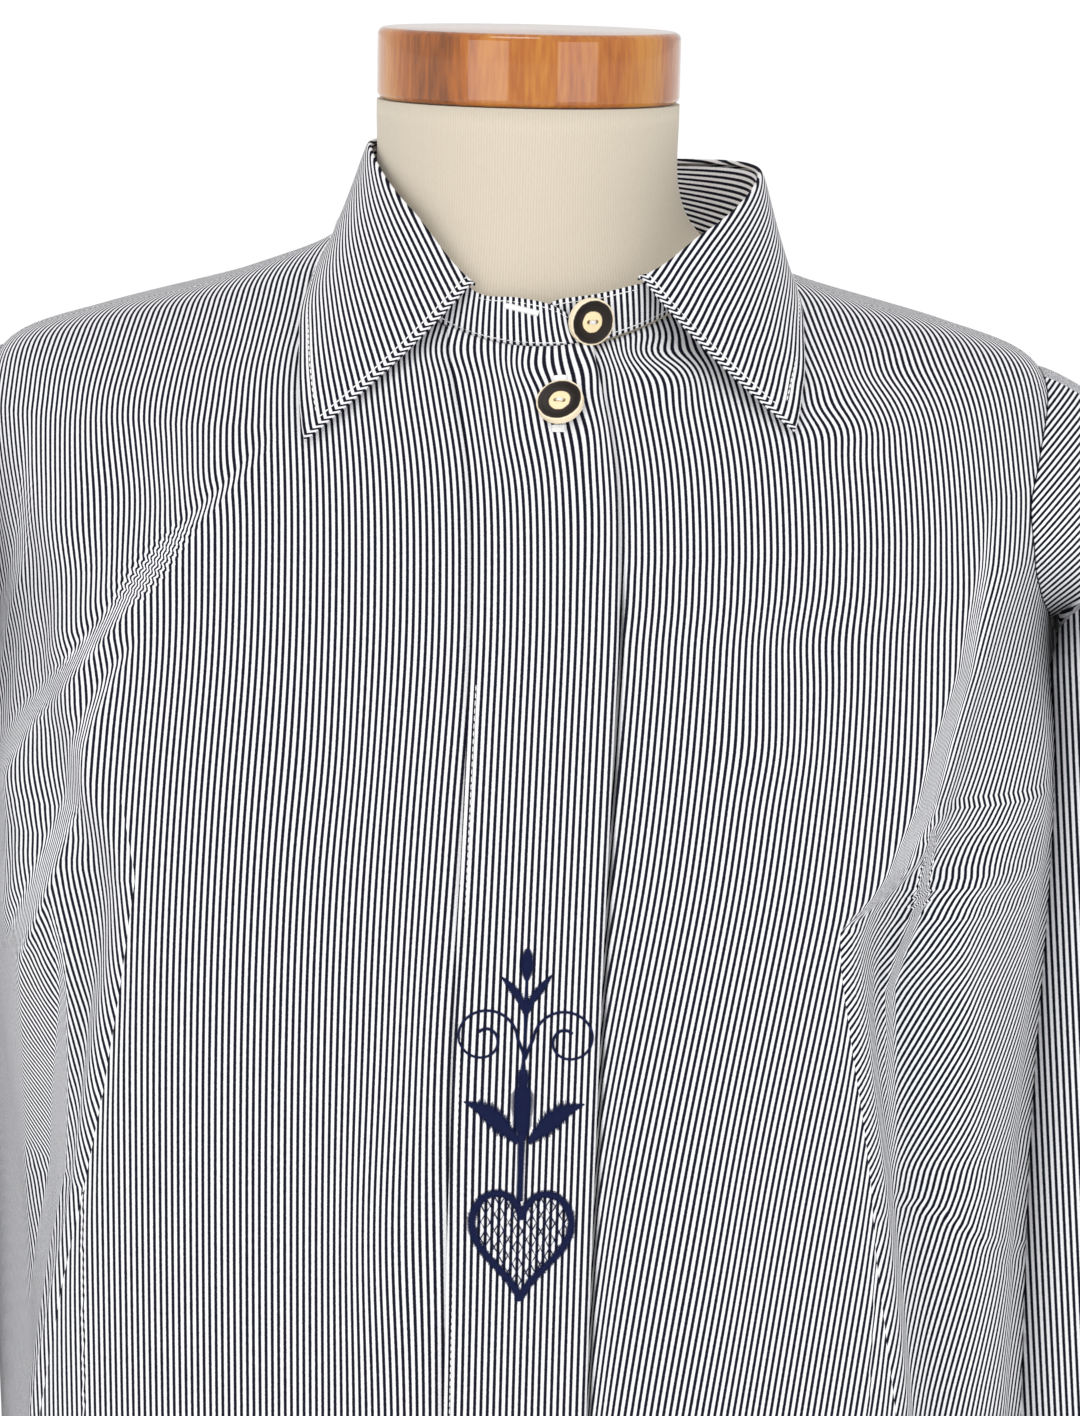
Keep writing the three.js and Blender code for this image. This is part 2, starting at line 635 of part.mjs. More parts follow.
// A turned disc with a raised rim and two holes, its back on z = 0.
const HOLE_RADIUS = 0.9;
const HOLE_OFFSET = 1.7; // from the middle
function buttonGeometry() {
  const radius = BUTTON / 2;
  const profile = [
    [0, 0], [radius - 1.4, 0], [radius, 1.2], [radius - 0.3, 2.6], [radius - 1.2, BUTTON_THICKNESS],
    [radius - 2.6, 2.6], [radius - 4.2, 2.0], [0, 1.9],
  ].map(([r, z]) => new THREE.Vector2(r, z));
  const disc = new THREE.LatheGeometry(profile, 20).rotateX(Math.PI / 2);
  let body = toManifold(disc);
  for (const side of [-1, 1]) {
    const drill = new THREE.CylinderGeometry(HOLE_RADIUS, HOLE_RADIUS, 8, 8).rotateX(Math.PI / 2);
    body = body.subtract(toManifold(drill.translate(side * HOLE_OFFSET, 0, 0)));
  }
  return toGeometry(body);
}

// A button with its back just clear of a surface point, facing along that surface's normal.
function placeButton(name, point, normal, clearance) {
  const geometry = buttonGeometry();
  const turn = new THREE.Quaternion().setFromUnitVectors(new THREE.Vector3(0, 0, 1), normal);
  const mesh = new THREE.Mesh(geometry, hornLook);
  mesh.name = name;
  mesh.quaternion.copy(turn);
  mesh.position.copy(point).addScaledVector(normal, clearance);
  blouse.add(mesh);
}

function outwardNormal(surface, u, v, centre) {
  const normal = normalOf(surface, u, v);
  const away = surface(u, v).sub(centre);
  return normal.dot(away) < 0 ? normal.negate() : normal;
}

// Where each button sits on its surface, as shares along and up it, and the thread it stands off by, which
// the surface's curve needs.
const STAND_BUTTON = { place: [0.955, 0.6], thread: 1.5 };
const FRONT_BUTTON = { place: [0.69, 0.862], thread: 0.6 };
const CUFF_BUTTON = { place: [0.975, 0.5], thread: 0.4 };
function sewOn(name, button, surface, wallThickness, centre) {
  const normal = outwardNormal(surface, ...button.place, centre);
  placeButton(name, surface(...button.place), normal, wallThickness / 2 + SEAM + button.thread);
}

const bodyCentre = new THREE.Vector3(0, 0, ARMPIT);
sewOn("button_stand", STAND_BUTTON, standSurface, DOUBLED, bodyCentre);
sewOn("button_front", FRONT_BUTTON, placketSurface, CLOTH, bodyCentre);
for (const [side, word] of [[1, "left"], [-1, "right"]]) {
  const centre = new THREE.Vector3(side * SLEEVE.at(-1).x, SLEEVE_BACK, SLEEVE.at(-1).z);
  sewOn(`cuff_button_${word}`, CUFF_BUTTON, cuffSurface(side), DOUBLED, centre);
}

// ---- Dress form ----
const FORM_CLEARANCE = CLOTH / 2 + 0.5; // from the middle of the cloth to the form where the blouse rests
const FORM_FOOT = BOARD_THICKNESS + SEAM;
const FORM_COLUMNS = 36;
const FORM_NECK_ROWS = 5; // above the panels' rows; one more row lies below the hem
const FORM_ROWS = 1 + ROWS.panel + FORM_NECK_ROWS;
function formStation(row) {
  if (row < 0) return lerp(FORM_FOOT, HEM, row + 1);
  if (row > ROWS.panel) return lerp(NECK, RINGS.at(-1).station, (row - ROWS.panel) / FORM_NECK_ROWS);
  return levelAt(row / ROWS.panel);
}

function formSurface(u, v) {
  const station = formStation(v * FORM_ROWS - 1);
  const angle = u * 360;
  return bodyPoint(angle, station, 1).addScaledVector(bodyNormal(angle, station, 1), -FORM_CLEARANCE);
}
add("form_torso", solid(formSurface, FORM_COLUMNS, FORM_ROWS), jersey);

// A turned cap with rounded edges.
function capGeometry() {
  const round = 3;
  const profile = new THREE.Path();
  profile.moveTo(0, 0);
  profile.lineTo(NECK_RADIUS - 1, 0);
  profile.lineTo(NECK_RADIUS, 1);
  profile.lineTo(NECK_RADIUS, CAP_HEIGHT - round);
  profile.absarc(NECK_RADIUS - round, CAP_HEIGHT - round, round, 0, Math.PI / 2, false);
  profile.lineTo(0, CAP_HEIGHT);
  return new THREE.LatheGeometry(profile.getPoints(3), 36).rotateX(Math.PI / 2);
}
const cap = new THREE.Mesh(capGeometry(), pine);
cap.name = "form_neck_cap";
cap.position.z = NECK_TOP + SEAM;
blouse.add(cap);

// The base board, an oval with a rounded top edge.
const BOARD_HALF_WIDTH = 205;
const BOARD_HALF_DEPTH = 132;
const boardEdge = [
  { v: 0, inset: 0.8, z: 0 },
  { v: 1, inset: 0, z: 0.8 },
  { v: 2, inset: 0, z: BOARD_THICKNESS - 4 },
  { v: 3, inset: 1.2, z: BOARD_THICKNESS - 1.2 },
  { v: 4, inset: 4, z: BOARD_THICKNESS },
];
function boardSurface(u, v) {
  const row = boardEdge[Math.round(v * (boardEdge.length - 1))];
  const angle = 2 * Math.PI * u;
  return new THREE.Vector3(
    (BOARD_HALF_WIDTH - row.inset) * Math.sin(angle),
    -(BOARD_HALF_DEPTH - row.inset) * Math.cos(angle),
    row.z,
  );
}
add("form_base", solid(boardSurface, 40, boardEdge.length - 1), pine);

export default blouse;
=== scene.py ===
import math
import random

import bmesh
import bpy
import numpy as np
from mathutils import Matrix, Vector


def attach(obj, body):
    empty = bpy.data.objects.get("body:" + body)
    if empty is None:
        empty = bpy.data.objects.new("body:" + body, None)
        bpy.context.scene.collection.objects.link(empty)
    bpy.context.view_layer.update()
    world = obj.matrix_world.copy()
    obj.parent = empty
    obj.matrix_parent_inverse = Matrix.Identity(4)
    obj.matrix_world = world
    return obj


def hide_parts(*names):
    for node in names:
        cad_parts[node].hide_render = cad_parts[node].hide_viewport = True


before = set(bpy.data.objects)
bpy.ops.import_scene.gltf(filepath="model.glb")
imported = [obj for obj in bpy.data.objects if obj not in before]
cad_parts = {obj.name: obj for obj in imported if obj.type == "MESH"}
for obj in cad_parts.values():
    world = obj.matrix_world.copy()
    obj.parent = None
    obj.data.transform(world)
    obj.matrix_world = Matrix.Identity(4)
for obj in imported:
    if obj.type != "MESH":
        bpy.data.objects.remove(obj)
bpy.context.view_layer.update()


# ---- Camera ----
# A long lens a little above the neck cap, tipped down at the chest and rolled very slightly.
IMAGE = (1080, 1416)  # pixels
CAMERA_PLACE = (0.0097, -1.700, 0.919)
CAMERA_TIP = math.radians(11.05)  # below the horizon
CAMERA_ROLL = math.radians(1.2)
FOCAL_PIXELS = 4250.0
SENSOR_HEIGHT = 36.0  # mm

camera_data = bpy.data.cameras.new("camera")
camera_data.sensor_fit = "VERTICAL"
camera_data.sensor_height = SENSOR_HEIGHT
camera_data.lens = FOCAL_PIXELS / IMAGE[1] * SENSOR_HEIGHT
camera_data.clip_end = 60.0
camera = bpy.data.objects.new("camera", camera_data)
camera.location = CAMERA_PLACE
camera.rotation_mode = "ZYX"
camera.rotation_euler = (math.radians(90) - CAMERA_TIP, 0.0, CAMERA_ROLL)
bpy.context.scene.collection.objects.link(camera)
bpy.context.scene.camera = camera


# ---- Fronts and back ----
# Two fronts and a back of fine striped plain-weave cotton, about 0.4 mm thick, sewn at the sides and
# shoulders. They hang from the form's shoulders and bust, with a long crease falling from each bust point.
MM = 0.001
HEM = 50.0
ARMPIT = 630.0
SHOULDER_TIP = 735.0
NECK = 872.0
NECK_SLIP = 9.0
SLIP_START = 820.0
SEAM_ANGLE = math.degrees(0.15 / 120)
ARMHOLE_FRONT = {1: 29.0, -1: 12.0}
ARMHOLE_BACK = 24.0
PLACKET_WIDTH = 55.0
UNDERLAP = 56.0
LAYER = 2.0
CLOTH_THICKNESS = 0.6

# Rings of the body: station, width, front, back, shift, square, front_z, side_z, back_z, in mm.
WIDTH, FRONT, BACK, SHIFT, SQUARE, FRONT_Z, SIDE_Z, BACK_Z = range(1, 9)
RINGS = (
    (18, 214, 138, 112, 7, 3.0, 18, 18, 18),
    (50, 214, 138, 112, 7, 3.0, 50, 50, 50),
    (190, 214, 141, 113, 6, 3.1, 190, 190, 190),
    (330, 215, 145, 109, 4, 3.2, 330, 330, 330),
    (430, 216, 148, 108, 3, 3.3, 430, 430, 430),
    (520, 220, 148, 111, 3, 3.4, 520, 520, 520),
    (580, 217, 142, 113, 3, 3.3, 585, 580, 590),
    (630, 212, 133, 112, 1.5, 3.0, 626, 630, 645),
    (685, 214, 121, 106, 0, 2.8, 664, 686, 695),
    (735, 207, 109, 94, -1, 2.5, 694, 731, 738),
    (770, 176, 101, 84, 0, 2.35, 709, 745, 757),
    (820, 127, 91, 71, 0, 2.2, 726, 757, 775),
    (878, 74, 78, 58, 0, 2.0, 745, 779, 791),
    (905, 62, 62, 60, 0, 2.0, 778, 797, 803),
    (940, 61.1, 61.1, 61.1, 0, 2.0, 832, 832, 832),
)

# The placket's front edge: station, x.
FRONT_EDGE = ((50, 33), (330, 33), (504, 35), (600, 37.5), (660, 38.5), (730, 37), (800, 32), (880, 25))

# The long creases below the bust: z, x, drop of the cloth past them.
CREASE_PLUS = (
    (50, 172, 16), (200, 165, 18), (327, 155, 22), (420, 142, 24), (500, 130, 25), (536, 128, 21),
    (561, 150, 14), (611, 165, 8), (650, 178, 3), (690, 195, 0),
)
CREASE_MINUS = (
    (50, -200, 10), (200, -193, 12), (309, -185, 14), (417, -164, 17), (476, -154, 18), (511, -147, 18),
    (545, -145, 16), (580, -158, 12), (620, -166, 9), (660, -173, 6), (710, -190, 0),
)
CREASE_WIDTH = 22.0
CREASE_RETURN = (26.0, 56.0)
CREASE_REGAIN = 0.55
HEM_WAVE = 3.0

# Folds: where, height (below 0 for a trough), reach, and the line of (x, z) places they follow.
FOLDS = (
    ("front", 4, 14, ((202, 690), (190, 668), (177, 647), (165, 611), (151, 561), (126, 534))),
    ("front", 5, 13, ((-106, 697), (-134, 663), (-153, 643), (-177, 620), (-198, 572))),
    ("front", 4, 12, ((-163, 601), (-166, 581), (-178, 547), (-200, 520))),
    ("back", 5, 22, ((-95, 560), (-88, 380), (-98, 50))),
    ("back", -7, 24, ((-45, 520), (-38, 300), (-46, 50))),
    ("back", 5, 26, ((18, 560), (12, 300), (20, 50))),
    ("back", -7, 22, ((70, 540), (66, 320), (74, 50))),
    ("back", 4, 20, ((122, 560), (118, 340), (130, 50))),
)


def along(table, place, column):
    """A smooth curve through one column of a table, read at places of its first column."""
    keys = np.array([row[0] for row in table], float)
    values = np.array([row[column] for row in table], float)
    slopes = np.empty_like(keys)
    slopes[1:-1] = (values[2:] - values[:-2]) / (keys[2:] - keys[:-2])
    slopes[0] = (values[1] - values[0]) / (keys[1] - keys[0])
    slopes[-1] = (values[-1] - values[-2]) / (keys[-1] - keys[-2])
    place = np.asarray(place, float)
    k = np.clip(np.searchsorted(keys, place) - 1, 0, len(keys) - 2)
    span = keys[k + 1] - keys[k]
    t = (place - keys[k]) / span
    start = slopes[k] * span
    end = slopes[k + 1] * span
    rise = values[k + 1] - values[k]
    return values[k] + start * t + (3 * rise - 2 * start - end) * t**2 + (start + end - 2 * rise) * t**3


def signed_power(value, exponent):
    return np.sign(value) * np.abs(value) ** exponent


def smoothstep(value, low, high):
    t = np.clip((value - low) / (high - low), 0, 1)
    return t * t * (3 - 2 * t)


def unit(vectors):
    """The vectors, each made one long."""
    return vectors / np.maximum(np.linalg.norm(vectors, axis=-1, keepdims=True), 1e-12)


def ring_point(angle, station, width, front, back, square):
    """A point of a squarish ring whose ends and sides lie where the body's rings have them."""
    sine, cosine = np.sin(np.radians(angle)), np.cos(np.radians(angle))
    ahead = cosine >= 0
    end_z = np.where(ahead, along(RINGS, station, FRONT_Z), along(RINGS, station, BACK_Z))
    x = along(RINGS, station, SHIFT) + width * signed_power(sine, 2 / square)
    y = -np.where(ahead, front, back) * signed_power(cosine, 2 / square)
    return np.stack((x, y, end_z + (along(RINGS, station, SIDE_Z) - end_z) * sine**2), -1)


def body_point(angle, station):
    """A point of the blouse's body, in mm: angle 0 in front, 90 at the +X side, 180 behind."""
    angle, station = np.broadcast_arrays(np.asarray(angle, float), np.asarray(station, float))
    return ring_point(angle, station, *(along(RINGS, station, k) for k in (WIDTH, FRONT, BACK, SQUARE)))


def normal_of(surface, u, v, step=0.002):
    across = surface(u + step, v) - surface(u - step, v)
    up = surface(u, v + step) - surface(u, v - step)
    return unit(np.cross(across, up))


def distance_to_line(x, z, line):
    nearest = np.full(x.shape, np.inf)
    for (x0, z0), (x1, z1) in zip(line, line[1:]):
        length2 = (x1 - x0) ** 2 + (z1 - z0) ** 2
        t = np.clip(((x - x0) * (x1 - x0) + (z - z0) * (z1 - z0)) / length2, 0, 1)
        nearest = np.minimum(nearest, np.hypot(x - x0 - t * (x1 - x0), z - z0 - t * (z1 - z0)))
    return nearest


def crease_drop(x, z):
    """How far the cloth falls back past the crease below each bust point."""
    drop = np.zeros(x.shape)
    for table, here in ((CREASE_PLUS, x > 0), (CREASE_MINUS, x <= 0)):
        height = np.clip(z, table[0][0], table[-1][0])
        past = np.abs(x) - np.abs(along(table, height, 1))
        returned = smoothstep(past, *CREASE_RETURN)
        fall = along(table, height, 2) * smoothstep(past, 0, CREASE_WIDTH) * (1 - CREASE_REGAIN * returned)
        drop = np.where(here, -fall, drop)
    return drop


def fold_lift(point, front):
    """How far the folds lift the cloth, in mm, at points of the front or the back."""
    x, z = point[..., 0], point[..., 2]
    lift = np.zeros(x.shape)
    for side, height, reach, line in FOLDS:
        if (side == "front") == front:
            lift += height * np.exp(-((distance_to_line(x, z, line) / reach) ** 2))
    near_hem = 1 - smoothstep(z, HEM, 260)
    beside_placket = smoothstep(np.abs(x - 7), 45, 90)
    lift += HEM_WAVE * near_hem * beside_placket * np.sin(x / 21)
    return lift + (crease_drop(x, z) if front else 0)


def valley_drop(x, z):
    """A narrow valley along each fold line, and along the darts' seams."""
    drop = np.zeros(x.shape)
    for side, rows in OPEN_FOLDS + tuple((side, rows) for side, _, rows in CLOSED_FOLDS):
        off = np.abs(x) - read(rows, z, 1)
        depth = 1.6 * smoothstep(read(rows, z, 2), 0, 12) * (side * x > 0)
        drop += depth * np.exp(-((off / 4.5) ** 2))
    for side, seam in DARTS:
        drop += 0.5 * np.exp(-((distance_to_line(x, z, [(row[1], row[0]) for row in seam]) / 2.2) ** 2))
    return drop


def cloth_point(angle, station, lift=0.0, front=True):
    point = body_point(angle, station)
    sides = smoothstep(np.abs(np.cos(np.radians(angle))), 0.02, 0.25)
    total = sides * fold_lift(point, front) + lift
    if front:
        total = total - valley_drop(point[..., 0], point[..., 2])
    return point + normal_of(body_point, angle, station) * np.asarray(total)[..., None]


def angle_at_x(x, station):
    share = np.clip((x - along(RINGS, station, SHIFT)) / along(RINGS, station, WIDTH), -1, 1)
    return np.degrees(np.arcsin(signed_power(share, along(RINGS, station, SQUARE) / 2)))


def armhole(station, opening):
    share = np.clip((station - ARMPIT) / (SHOULDER_TIP - ARMPIT), 0, 1)
    return opening * np.sin(np.pi * share) ** 0.9


def row_station(level, angle):
    """A row follows the neckline's slip only in its last stretch."""
    share = np.clip((level - SLIP_START) / (NECK - SLIP_START), 0, 1)
    return level - share * NECK_SLIP * np.sin(np.radians(angle))


def arc_lengths(points, axis):
    """Length of the cloth along a grid's rows or columns, measured over its folds."""
    steps = np.linalg.norm(np.diff(points, axis=axis), axis=-1)
    zero = np.zeros_like(np.take(steps, [0], axis=axis))
    return np.cumsum(np.concatenate((zero, steps), axis=axis), axis=axis)


# Toward the side the cloth turns away. Its lengths are eased there, so that its stripes stay open.
SIDE_EASE = 1.25
LEAST_EASE = 0.5


def eased_lengths(points):
    steps = np.linalg.norm(np.diff(points, axis=1), axis=-1)
    sideways = np.abs(np.diff(points[..., 0], axis=1))
    eased = np.maximum(np.minimum(steps, SIDE_EASE * sideways), LEAST_EASE * steps)
    return np.cumsum(np.concatenate((np.zeros_like(eased[:, :1]), eased), 1), 1)


def smooth_piece(name, places, faces):
    """A smooth-shaded object made of places in mm and faces."""
    mesh = bpy.data.meshes.new(name)
    mesh.from_pydata(places * MM, [], faces)
    mesh.polygons.foreach_set("use_smooth", np.ones(len(mesh.polygons), bool))
    mesh.update()
    piece = bpy.data.objects.new(name, mesh)
    bpy.context.scene.collection.objects.link(piece)
    return piece


def grid_mesh(name, points, uv):
    """A sheet over a grid of points (rows, columns, 3), with a uv pair for each face's four corners."""
    rows, columns = points.shape[:2]
    j, i = np.meshgrid(np.arange(rows - 1), np.arange(columns - 1), indexing="ij")
    low = j * columns + i
    faces = np.stack((low, low + 1, low + columns + 1, low + columns), -1)
    piece = smooth_piece(name, points.reshape(-1, 3), faces.reshape(-1, 4).tolist())
    layer = piece.data.uv_layers.new(name="cloth")
    layer.data.foreach_set("uv", (uv * MM).reshape(-1).astype(np.float32))
    return piece


def corner_uv(u, v):
    """Face-corner pairs from grids of u and v at the points, the grid being open on both sides."""
    pair = np.stack((u, v), -1)
    return np.stack((pair[:-1, :-1], pair[:-1, 1:], pair[1:, 1:], pair[1:, :-1]), 2)


def select_only(piece):
    bpy.ops.object.select_all(action="DESELECT")
    piece.select_set(True)
    bpy.context.view_layer.objects.active = piece


def finish_cloth(piece, thickness, materials):
    """Gives a sheet its thickness and its materials, the second one on the inner face."""
    for material in materials:
        piece.data.materials.append(material)
    solidify = piece.modifiers.new("thickness", "SOLIDIFY")
    solidify.thickness = thickness * MM
    solidify.offset = 0.0
    solidify.use_even_offset = False
    solidify.material_offset = len(materials) - 1
    solidify.material_offset_rim = 0
    select_only(piece)
    bpy.ops.object.modifier_apply(modifier="thickness")


def linear(hex_colour):
    """An sRGB colour, as "#rrggbb", turned linear, with alpha."""
    parts = [int(hex_colour[k:k + 2], 16) / 255 for k in (1, 3, 5)]
    return tuple(c / 12.92 if c <= 0.04045 else ((c + 0.055) / 1.055) ** 2.4 for c in parts) + (1.0,)


def node(material, kind, settings=None, **links):
    """Adds a node, sets its properties and inputs, and links the inputs that are given as sockets."""
    tree = material.node_tree
    made = tree.nodes.new(kind)
    for key, value in (settings or {}).items():
        setattr(made, key, value)
    for key, value in links.items():
        socket = made.inputs[int(key[1:]) if key[1:].isdigit() else key.replace("_", " ")]
        if isinstance(value, bpy.types.NodeSocket):
            tree.links.new(value, socket)
        else:
            socket.default_value = value
    return made


def new_material(name):
    material = bpy.data.materials.new(name)
    material.use_nodes = True
    material.node_tree.nodes.clear()
    return material


def noise(material, place, scale, detail):
    return node(material, "ShaderNodeTexNoise", Vector=place, Scale=scale, Detail=detail)


def calculate(material, operation, *inputs):
    """A math node's result. The inputs are numbers or sockets."""
    links = {f"i{k}": value for k, value in enumerate(inputs)}
    return node(material, "ShaderNodeMath", {"operation": operation}, **links).outputs[0]


def colour_ramp(material, factor, stops):
    """The colour of a ramp, given its first and last stops and then those between."""
    made = node(material, "ShaderNodeValToRGB", Fac=factor)
    elements = made.color_ramp.elements
    for k, (place, colour) in enumerate(stops):
        stop = elements[k] if k < 2 else elements.new(place)
        stop.position = place
        stop.color = linear(colour)
    return made.outputs["Color"]


def relief(material, strength, height, distance=0.2 * MM):
    return node(material, "ShaderNodeBump", Strength=strength, Distance=distance, Height=height).outputs[0]


def principled(material, **inputs):
    """Ends a material in a principled shader."""
    shader = node(material, "ShaderNodeBsdfPrincipled", **inputs)
    node(material, "ShaderNodeOutputMaterial", Surface=shader.outputs[0])
    return material


# Striped shirting: dyed navy and bleached white warp, woven plain. The pattern follows the cloth's own
# lengths, so that it bends and narrows in the folds. The weave is drawn coarser than its 0.2 mm threads,
# so that it shows.
STRIPE_REPEAT = 2.45 * MM
STRIPE_SOFTNESS = 0.05
FUZZ = 0.25 * MM
NAVY = "#171825"
WHITE = "#ebebee"
WEAVE = 0.45 * MM


def striped_cotton(name, across="X"):
    material = new_material(name)
    uv = node(material, "ShaderNodeUVMap", {"uv_map": "cloth"}).outputs[0]
    parts = node(material, "ShaderNodeSeparateXYZ", Vector=uv)
    fuzz = noise(material, uv, 900.0, 2.0)
    shifted = calculate(material, "MULTIPLY_ADD", fuzz.outputs["Fac"], FUZZ, parts.outputs[across])
    turns = calculate(material, "DIVIDE", shifted, STRIPE_REPEAT)
    stripe = colour_ramp(material, calculate(material, "FRACT", turns), (
        (0, WHITE), (1, WHITE), (0.25 - STRIPE_SOFTNESS, WHITE), (0.25 + STRIPE_SOFTNESS, NAVY),
        (0.75 - STRIPE_SOFTNESS, NAVY), (0.75 + STRIPE_SOFTNESS, WHITE),
    ))
    weave = noise(material, uv, 1 / WEAVE, 3.0).outputs["Fac"]
    flecks = node(material, "ShaderNodeMapRange", Value=weave, i1=0.35, i2=0.65, i3=0.88, i4=1.06)
    colour = node(
        material, "ShaderNodeVectorMath", {"operation": "SCALE"}, i0=stripe, Scale=flecks.outputs[0],
    )
    bump = relief(material, 0.25, weave)
    return principled(
        material, Base_Color=colour.outputs[0], Roughness=0.9, Specular_IOR_Level=0.06, Normal=bump,
    )


cotton_lengthwise = striped_cotton("striped_cotton_lengthwise")
cotton_crosswise = striped_cotton("striped_cotton_crosswise", "Y")

# How the mid cloth's grain leans from upright, in degrees, at heights z.
GRAIN_PLUS = ((50, 2), (300, 6), (400, 7), (470, 9), (530, 8), (560, 5), (610, 2), (700, 0), (760, 0))
GRAIN_MINUS = ((50, 0), (420, -1), (560, 1), (600, 2), (640, 0), (760, 0))

# Fold lines that swallow cloth, as rows of z, x, cloth hidden in the fold and the width it shows, in mm.
# Below the height beside its side, a closed fold narrows to an edge.
CLOSED_FOLDS = (
    (1, 545, (
        (50, 172, 100, 0), (332, 155, 88, 0), (400, 144, 82, 0), (428, 141, 78, 0), (454, 137, 66, 0),
        (481, 132, 53, 0), (498, 129, 45, 0), (515, 126, 36, 0), (532, 124, 27, 1), (542, 139, 25, 10),
        (552, 145, 24, 9), (564, 150, 25, 9), (576, 156, 30, 10), (600, 162, 23, 9), (625, 171, 14, 8),
        (648, 175, 8, 7), (663, 178, 4, 6), (690, 182, 0, 6),
    )),
    (-1, 600, (
        (50, 200, 38, 0), (309, 185, 38, 0), (376, 173, 36, 0), (420, 163, 33, 0), (460, 155, 20, 0),
        (509, 147, 7, 0), (543, 142, 1, 0), (580, 150, 0, 3),
    )),
)
OPEN_FOLDS = (
    (1, (
        (416, 153, 0, 4), (445, 150, 4, 5), (477, 148, 9, 5), (501, 147, 13, 4), (517, 151, 15, 4),
        (538, 158, 16, 4), (560, 160, 12, 4), (572, 158, 0, 4),
    )),
    (-1, (
        (573, 202, 26, 11), (596, 189, 20, 11), (625, 166, 13, 10), (645, 150, 9, 9), (672, 129, 5, 8),
        (693, 108, 2, 7), (712, 92, 0, 7),
    )),
    (-1, (
        (500, 196, 26, 10), (550, 176, 16, 10), (570, 168, 12, 9), (592, 166, 9, 8), (604, 161, 6, 7),
        (618, 154, 3, 6), (634, 142, 0, 6),
    )),
    (-1, (
        (600, 208, 16, 6), (632, 203, 13, 7), (650, 196, 9, 7), (668, 192, 5, 6), (690, 190, 2, 5),
        (712, 189, 0, 4),
    )),
    (-1, (
        (50, 215, 62, 5), (314, 195, 66, 6), (379, 184, 66, 7), (419, 176, 62, 8), (445, 175, 40, 8),
        (466, 174, 22, 6), (488, 173, 10, 4), (509, 174, 4, 4), (530, 179, 0, 3),
    )),
)
# The bust darts as z, x along each, from the tip to the side seam. The pattern breaks across them.
DARTS = (
    (1, ((417, 143), (415, 155), (408, 172), (388, 199), (372, 219))),
    (-1, ((419, -163), (416, -175), (411, -186), (401, -205))),
)
DART_BREAK = 1.1


def grain_shift(table, z):
    """How far the warp has moved sideways at height z, the lean added up from the shoulder down."""
    heights = np.linspace(table[0][0], table[-1][0], 400)
    slope = np.tan(np.radians(along(table, heights, 1)))
    moved = np.concatenate(([0], np.cumsum((slope[1:] + slope[:-1]) / 2 * np.diff(heights))))
    return np.interp(z, heights, moved[-1] - moved)


def read(rows, z, column):
    return np.interp(z, [row[0] for row in rows], [row[column] for row in rows])


def hidden_cloth(rows, x, z):
    """Cloth swallowed by a fold line between the front edge and a point, in mm."""
    past = np.abs(x) - read(rows, z, 1)
    width = np.maximum(read(rows, z, 3), 0.4)
    return read(rows, z, 2) * smoothstep(past, -width / 2, width / 2)


SHARE_ABOVE_CREASE = 0.8


def crease_share(side, level, start, end):
    """Where the crease's column lies between a front's edges, as a share of its angle."""
    rows = CLOSED_FOLDS[0 if side > 0 else 1][2]
    share = (angle_at_x(side * read(rows, level, 1), level) - start) / (end - start)
    return share + smoothstep(level, 650, 700) * (SHARE_ABOVE_CREASE - share)


def front_grid(side, edge_x, lift_at, inner_columns, outer_columns, rows, dense_x=None):
    """Points of a front from its edge in the middle to its side seam, with a column on the crease and
    closer columns between the two x of dense_x."""
    level = np.linspace(HEM, NECK, rows)[:, None]
    start = angle_at_x(edge_x(level), level)
    end = side * (90 - SEAM_ANGLE - armhole(level, ARMHOLE_FRONT[side]))
    crease = crease_share(side, level, start, end)
    inner = np.linspace(0, 1, inner_columns)[None, :] * crease
    if dense_x:
        low, high = [(angle_at_x(x, level) - start) / (end - start) for x in dense_x(level)]
        near = np.linspace(0, 1, EDGE_COLUMNS)[None, :]
        before = np.linspace(0, 1, UNDER_COLUMNS)[None, :-1] * low
        rest = inner_columns - EDGE_COLUMNS - UNDER_COLUMNS + 2
        after = high + np.linspace(0, 1, rest)[None, 1:] * (crease - high)
        inner = np.concatenate((before, low + near * (high - low), after), 1)
    outer = crease + np.linspace(0, 1, outer_columns)[None, 1:] * (1 - crease)
    angle = start + np.concatenate((inner, outer), 1) * (end - start)
    station = row_station(level, angle)
    lift = lift_at(body_point(angle, station)[..., 0], station)
    return cloth_point(angle, station, lift), np.broadcast_to(level, angle.shape)


# Where the buttoned edge and the collar pull the cloth sideways: x, z, reach across, reach up, pull in mm.
PULLS = (
    (28, 737, 9, 9, 3.2), (2, 736, 9, 8, -2.6), (-2, 712, 12, 14, -1.4), (27, 716, 7, 12, 1.8),
    (30, 690, 10, 30, 1.2), (52, 741, 14, 5, -4.5), (60, 732, 12, 8, 2.0), (-30, 742, 14, 7, -2.2),
    (-26, 470, 16, 60, -2.0), (-44, 410, 16, 50, -2.4), (112, 640, 20, 14, -1.6), (96, 600, 18, 16, 1.4),
    (-70, 590, 22, 30, 1.2), (-120, 700, 16, 14, -2.4), (-150, 690, 14, 16, 2.0), (-176, 668, 12, 18, -1.8),
    (112, 722, 14, 7, -2.5), (140, 734, 16, 7, -2.5), (126, 716, 20, 8, 2.4), (80, 400, 20, 60, 1.2),
)


def pulled(x, z):
    shift = np.zeros(x.shape)
    for at_x, at_z, reach_x, reach_z, pull in PULLS:
        shift += pull * np.exp(-(((x - at_x) / reach_x) ** 2) - ((z - at_z) / reach_z) ** 2)
    return shift


